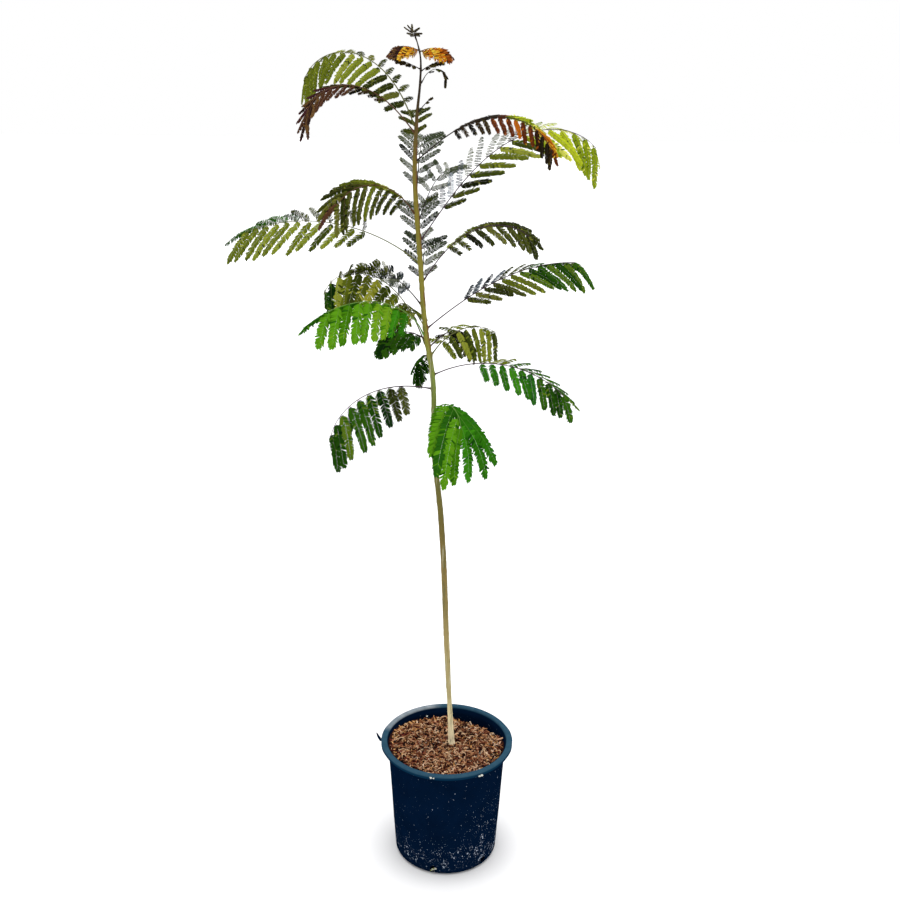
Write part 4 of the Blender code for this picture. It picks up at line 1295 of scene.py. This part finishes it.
@dataclass
class Crown:
    """All the fronds, with the sizes that they share."""

    stem: Stem
    nodes: dict[str, Piece]
    first_seed: int = 100
    gap: float = 0.0003
    rib_foot: float = 0.0013
    rib_tip: float = 0.0006
    rib_spacing: float = 0.028
    stagger: float = 0.0035
    shortest_blade: float = 0.45
    length_phase: Pair = (0.08, 0.74)
    fan_bend: float = 1.5
    tilts: tuple[float, ...] = (0.0, -14.0, 14.0, -28.0, 28.0)
    tip_match: float = 0.0016
    leaflet_spacing: float = 0.0031
    leaflet_angle: float = 68.0
    leaflet_closing: float = 34.0
    midrib_radius: float = 0.00038
    midrib_rows: int = 9
    midrib_sides: int = 4
    midrib_hint: Triple = (0.31, 0.17, 0.94)
    rib_sides: int = 6
    rib_row: float = 0.006
    rib_inset: float = 0.0016
    rib_swelling: float = 0.75
    zone_spread: float = 0.04
    length_spread: Pair = (0.94, 1.02)
    fan_spread: float = 0.035
    tilt_spread: float = 0.04
    usual_width: float = 0.018
    young_spacing: float = 0.62
    reach_angle: float = 62.0
    reach_spread: Pair = (0.88, 1.06)
    reach_at_foot: Pair = (0.62, 2.4)
    reach_at_tip: Pair = (0.42, 3.2)
    angle_spread: float = 0.06
    fold_spread: float = 0.12
    mixed: float = 0.15
    young_mixed: float = 0.6

    def side_of(self, frond: Frond) -> Array:
        """Level direction across a frond's rib."""
        compass = math.radians(frond.compass)
        return np.array((math.sin(compass), -math.cos(compass), 0.0))

    def rib_line(self, frond: Frond) -> tuple[Array, Array, Array]:
        """Walks a frond's rib from ring to ring of the solid, each step along the mean of two directions.

        The slope runs from the rise to the fall by the share of the way to the power of the bend.

        Args:
            frond: The frond.
        Returns:
            Shares, points and directions.
        """
        centre, stem_radius = self.stem.seat(frond.height)
        count = max(4, round(frond.length / self.rib_spacing))
        share = np.linspace(0.0, 1.0, count + 1)
        slope = np.radians(frond.rise + (frond.fall - frond.rise) * share**frond.bend)[:, None]
        compass = math.radians(frond.compass)
        outwards = np.array((math.cos(compass), math.sin(compass), 0.0))
        headings = swung(outwards, UP, slope)
        steps = 0.5 * (headings[1:] + headings[:-1]) * frond.length / count
        seat = stem_radius + self.gap + frond.slim * self.rib_foot * math.sin(math.radians(abs(frond.rise)))
        points = centre + seat * outwards + np.vstack((np.zeros(3), np.cumsum(steps, axis=0)))
        return share, points, headings

    def blades(self, frond: Frond) -> Blades:
        """Works out where each blade sits and how it leaves the rib, pair by pair.

        The lengths follow part of a sine's arch, and the angles run from the foot's to the tip's.

        Args:
            frond: The frond.
        Returns:
            Its blades.
        """
        share, points, headings = self.rib_line(frond)
        level = self.side_of(frond)
        roll = math.radians(frond.roll) * (-1.0 if level[1] > 0 else 1.0)
        i = np.repeat(np.arange(frond.pairs), 2)
        hand = np.tile((-1.0, 1.0), frond.pairs)
        along = i / (frond.pairs - 1)
        at = frond.bare + (1.0 - frond.bare) * (i + 0.35) / (frond.pairs - 0.3)
        root = smooth_curve(at, share, points)
        heading = unit(smooth_curve(at, share, headings))
        upright = np.cross(level, heading)
        side = math.cos(roll) * level - math.sin(roll) * upright
        over = math.cos(roll) * upright + math.sin(roll) * level
        first, last = self.length_phase
        wave = np.sin(math.pi * (first + (last - first) * along))

        def between(pair: Pair, share_along: Array) -> Array:
            """Angle from the foot's value to the tip's, in radians."""
            return np.radians(pair[0] + (pair[1] - pair[0]) * share_along)

        return Blades(root + 0.5 * (hand * self.stagger * frond.slim)[:, None] * heading, heading,
                      hand[:, None] * side, over, between(frond.fan, along**self.fan_bend),
                      between(frond.lift, along), between(frond.sag, along),
                      frond.blade * (self.shortest_blade + (1.0 - self.shortest_blade) * wave), along)

    def planes(self, frond: Frond, blades: Blades, lines: Array) -> tuple[Array, Array]:
        """The two directions of each blade's own plane: across it, and out of its upper face.

        Across starts along the rib. The plane is then turned about the midrib by the frond's twist, so
        that its upper face leans to the front.

        Args:
            frond: The frond.
            blades: Its blades.
            lines: Their midribs.
        Returns:
            Both directions, a row for each blade.
        """
        way = unit(lines[:, -1] - lines[:, 0])
        across = square_to(way, blades.heading)
        face = np.cross(way, across)
        face = face * np.where(face[:, 2:] < 0, -1.0, 1.0)
        twist = np.radians(np.where(blades.side[:, 1] < 0, *frond.twist))[:, None]
        lean = np.sin(twist) * np.where(across[:, 1:2] > 0, -1.0, 1.0)
        return np.cos(twist) * across - lean * face, np.cos(twist) * face + lean * across

    def midribs(self, frond: Frond, draw: Draw) -> tuple[Blades, Array, Array]:
        """Midribs of the blades that the solid has, each at the tilt that the solid gave it.

        Args:
            frond: The frond.
            draw: Source of the random draws.
        Returns:
            The blades, a mask of those that the solid has, and their midribs.
        """
        blades = self.blades(frond)
        mesh = self.nodes[frond.name].data
        corners = np.empty(len(mesh.vertices) * 3, np.float32)
        mesh.vertices.foreach_get("co", corners)
        corners = corners.reshape(1, -1, 3)
        tilt = np.full(len(blades.along), np.nan)
        for angle in np.radians(self.tilts):
            tips = blades.lines(np.full(len(tilt), angle))[:, -1]
            near = np.linalg.norm(tips[:, None] - corners, axis=2).min(axis=1) < self.tip_match
            tilt = np.where(np.isnan(tilt) & near, angle, tilt)
        blades.length = blades.length * draw.uniform(*self.length_spread, len(tilt))
        blades.fan = blades.fan + draw.normal(0.0, self.fan_spread, len(tilt))
        lines = blades.lines(np.nan_to_num(tilt) + draw.normal(0.0, self.tilt_spread, len(tilt)))
        return blades, ~np.isnan(tilt), lines

    def shades(self, frond: Frond, blades: Blades, draw: Draw) -> Array:
        """Deals each blade a tint by its zone and a shade by chance.

        Args:
            frond: The frond.
            blades: Its blades.
            draw: Source of the random draws.
        Returns:
            A material index for each blade.
        """
        front = blades.side[:, 1] < 0
        numbers = {tint: k for k, tint in enumerate(Tint)}
        made = np.zeros(len(front), int)
        for zones, mask in ((frond.near, front), (frond.far or frond.near, ~front)):
            made[mask] = numbers[zones[0]]
            for start, tint in zip(zones[1::2], zones[2::2]):
                place = blades.along + draw.normal(0.0, self.zone_spread, len(made))
                made[mask & (place >= start)] = numbers[tint]
        # The shade drawn by chance is partly the leaflet's own tone, partly painted highlights and shade.
        return made * SHADE_COUNT + draw.choice(SHADE_COUNT, len(made), p=SHADE_ODDS)

    def leaflets(self, frond: Frond, draw: Draw) -> Surface:
        """Leaflets in pairs along every midrib, dealt out for the front side and then the back side.

        A leaflet is an oblong on a broad foot, with a blunt point, a raised vein and a flat back. Its
        reach follows an envelope: short at the midrib's foot, full along the middle and short again at
        the tip. It leaves the midrib at a wide angle near the foot and a narrow one near the tip, and
        hangs by the fold.

        Args:
            frond: The frond.
            draw: Source of the random draws.
        Returns:
            The frond's leaflets.
        """
        blades, kept, lines = self.midribs(frond, draw)
        tints = self.shades(frond, blades, draw)
        planes = self.planes(frond, blades, lines)
        front = blades.side[:, 1] < 0
        young = frond.slim < 1.0
        spacing = self.leaflet_spacing * (self.young_spacing if young else 1.0)
        spacing *= (frond.width / self.usual_width) ** 0.35
        made = []
        for mask, close in zip((kept & front, kept & ~front), frond.close):
            count = max(4, round(frond.blade * 0.92 / spacing * min(1.0, close + 0.05)))
            shares = 0.04 + 0.94 * (np.arange(count) + 0.5) / count
            points, ways = walk(lines[mask], shares)
            across = square_to(ways, planes[0][mask][:, None])
            face = square_to(across, square_to(ways, planes[1][mask][:, None]))
            envelope, closing = (np.minimum(1.0, least + growth * way) for (least, growth), way in (
                (self.reach_at_foot, shares), (self.reach_at_tip, 1.0 - shares)))
            envelope = envelope * closing
            full_reach = 0.5 * frond.width * frond.full * envelope / math.sin(math.radians(self.reach_angle))
            length = np.linalg.norm(np.diff(lines[mask], axis=1), axis=2).sum(axis=1)
            tint = tints[mask][:, None]
            shape = (len(tint), count)
            for hand in (-1.0, 1.0):
                angle = self.leaflet_angle - self.leaflet_closing * shares**2.5
                angle = (np.radians(angle) + draw.normal(0.0, self.angle_spread, shape))[..., None]
                fold = (np.radians(frond.fold) + draw.normal(0.0, self.fold_spread, shape))[..., None]
                reach = full_reach * draw.uniform(*self.reach_spread, shape)
                out = swung(swung(ways, hand * across, angle), -face, fold)
                wide = square_to(out, ways)
                up = np.cross(out, wide)
                turned = (up * face).sum() >= 0
                up = unit(up) * (1.0 if turned else -1.0)
                half = np.minimum((close * 0.94 * length / count)[:, None], reach * 0.62)
                sizes = np.stack((reach, half, reach), axis=-1)[:, :, None]
                shaped = points[:, :, None] + (LEAFLET * sizes) @ np.stack((out, wide, up), axis=2)
                # Some leaflets swap to another shade of their family: partly own tone, partly painted
                # highlights and shade.
                mixed = draw.random(shape) < (self.young_mixed if young else self.mixed)
                others = tint // SHADE_COUNT * SHADE_COUNT + draw.integers(0, SHADE_COUNT, shape)
                made.append(Surface.copies(
                    shaped.reshape(-1, len(LEAFLET), 3), np.where(mixed, others, tint).ravel(),
                    LEAFLET_FACES if turned else LEAFLET_FACES[:, ::-1]))
        return Surface.joined(made)

    def rib(self, frond: Frond, draw: Draw) -> Surface:
        """The frond's rib, swollen where it leaves the stem, and the thin midribs of its blades.

        Args:
            frond: The frond.
            draw: Source of the random draws.
        Returns:
            One surface with all of them.
        """
        share, points, _ = self.rib_line(frond)
        fine = np.linspace(0.0, 1.0, max(8, round(frond.length / self.rib_row)))
        line = smooth_curve(fine, share, points)
        line = np.vstack((line[0] + unit(line[0] - line[1]) * self.rib_inset, line))
        fine = np.concatenate(([0.0], fine))
        radii = frond.slim * (self.rib_foot + (self.rib_tip - self.rib_foot) * fine)
        radii *= 1.0 + self.rib_swelling * np.exp(-((fine * frond.length / self.rib_row) ** 2))
        tint = list(RibTint).index(frond.rib)
        rings = tube_rings(line[None], radii[None], self.rib_sides, self.side_of(frond))
        _, kept, lines = self.midribs(frond, draw)
        centres, _ = walk(lines[kept], np.linspace(0.0, 0.97, self.midrib_rows))
        thin = self.midrib_radius * frond.slim * np.linspace(1.0, 0.45, self.midrib_rows)
        thin = np.broadcast_to(thin, centres.shape[:2])
        thin_rings = tube_rings(centres, thin, self.midrib_sides, np.array(self.midrib_hint))
        return Surface.joined([Surface.skins(rings, tint), Surface.skins(thin_rings, tint)])

    def build(self, fronds: tuple[Frond, ...]) -> list[Piece]:
        """Makes one piece of leaflets for each material slot, and one piece with all the ribs.

        Args:
            fronds: All the fronds.
        Returns:
            The pieces.
        """
        leaf = [PlainFinish(f"leaf_{tint.name.lower()}_{k + 1}", colour, 0.5, 0.0).material()
                for tint in Tint for k, colour in enumerate(tint.value)]
        ribs = [PlainFinish(f"rib_{tint.name.lower()}", tint.value, 0.6).material() for tint in RibTint]
        draws = {frond.name: self.first_seed + k for k, frond in enumerate(fronds)}
        made = []
        for slot in sorted({frond.slot for frond in fronds}):
            group = [frond for frond in fronds if frond.slot == slot]
            surface = Surface.joined([self.leaflets(f, np.random.default_rng(draws[f.name])) for f in group])
            piece = surface.to_object(f"leaflets_{slot}", leaf, False)
            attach(piece, "root")
            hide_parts(*[frond.name for frond in group])
            LOG.info("%s: %d fronds, %d triangles", piece.name, len(group), surface.triangles())
            made.append(piece)
        surface = Surface.joined([self.rib(f, np.random.default_rng(draws[f.name])) for f in fronds])
        piece = surface.to_object("ribs", ribs, True)
        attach(piece, "root")
        LOG.info("%s: %d triangles", piece.name, surface.triangles())
        made.append(piece)
        return made


@dataclass
class Studio:
    """Pale floor, soft light and the camera. The camera's lens is its focal length in image widths."""

    camera_y: float = -2.16
    camera_z: float = 1.70
    pitch: float = 18.7
    roll: float = 0.65
    lens: float = 1105.0 / 900.0
    sensor: float = 36.0
    floor_size: float = 60.0
    floor_colour: Colour = (234, 234, 235)
    sun_way: Triple = (0.0, -0.02, -1.0)
    sun_strength: float = 2.4
    sun_angle: float = 30.0

    def camera(self) -> None:
        """Makes the camera: it looks along +Y, pitched down and slightly rolled."""
        data = bpy.data.cameras.new("camera")
        data.sensor_width = self.sensor
        data.lens = self.lens * self.sensor
        camera = placed("camera", data)
        turned = Matrix.Rotation(math.radians(90.0 - self.pitch), 4, "X") @ Matrix.Rotation(
            math.radians(self.roll), 4, "Z")
        camera.matrix_world = Matrix.Translation((0.0, self.camera_y, self.camera_z)) @ turned
        bpy.context.scene.camera = camera

    def sun(self) -> None:
        """Adds a broad sun that shines almost straight down."""
        data = bpy.data.lights.new("sun", "SUN")
        data.energy = self.sun_strength
        data.angle = math.radians(self.sun_angle)
        placed("sun", data).matrix_world = Vector(self.sun_way).to_track_quat("-Z", "Y").to_matrix().to_4x4()

    def build(self) -> None:
        """Makes floor, surrounding light, sun and camera."""
        corners = np.array((((-0.5, -0.5, 0.0), (0.5, -0.5, 0.0), (0.5, 0.5, 0.0), (-0.5, 0.5, 0.0)),))
        corners *= self.floor_size
        floor = Surface.copies(corners, 0, np.array(((0, 1, 2, 3),))).to_object(
            "floor", [PlainFinish("floor_paper", self.floor_colour, 0.9, 0.1, 1.0).material()], False)
        world = bpy.data.worlds.new("studio")
        world.use_nodes = True
        background = world.node_tree.nodes["Background"]
        background.inputs["Color"].default_value = (1.0, 1.0, 1.0, 1.0)
        background.inputs["Strength"].default_value = 1.0
        bpy.context.scene.world = world
        self.sun()
        self.camera()


def main() -> None:
    """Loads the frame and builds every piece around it."""
    logging.basicConfig(level=logging.INFO, format="%(name)s: %(message)s")
    for item in list(bpy.data.objects):
        bpy.data.objects.remove(item, do_unlink=True)
    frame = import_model()
    pot = Pot()
    stem = Stem()
    for piece in (*pot.build(), *Mix(pot).build(), stem.build(FRONDS)):
        LOG.info("%s: %d polygons", piece.name, len(piece.data.polygons))
    Crown(stem, frame["nodes"]).build(FRONDS)
    Studio().build()
    bpy.context.scene.view_settings.view_transform = "Standard"


if __name__ == "__main__":
    main()
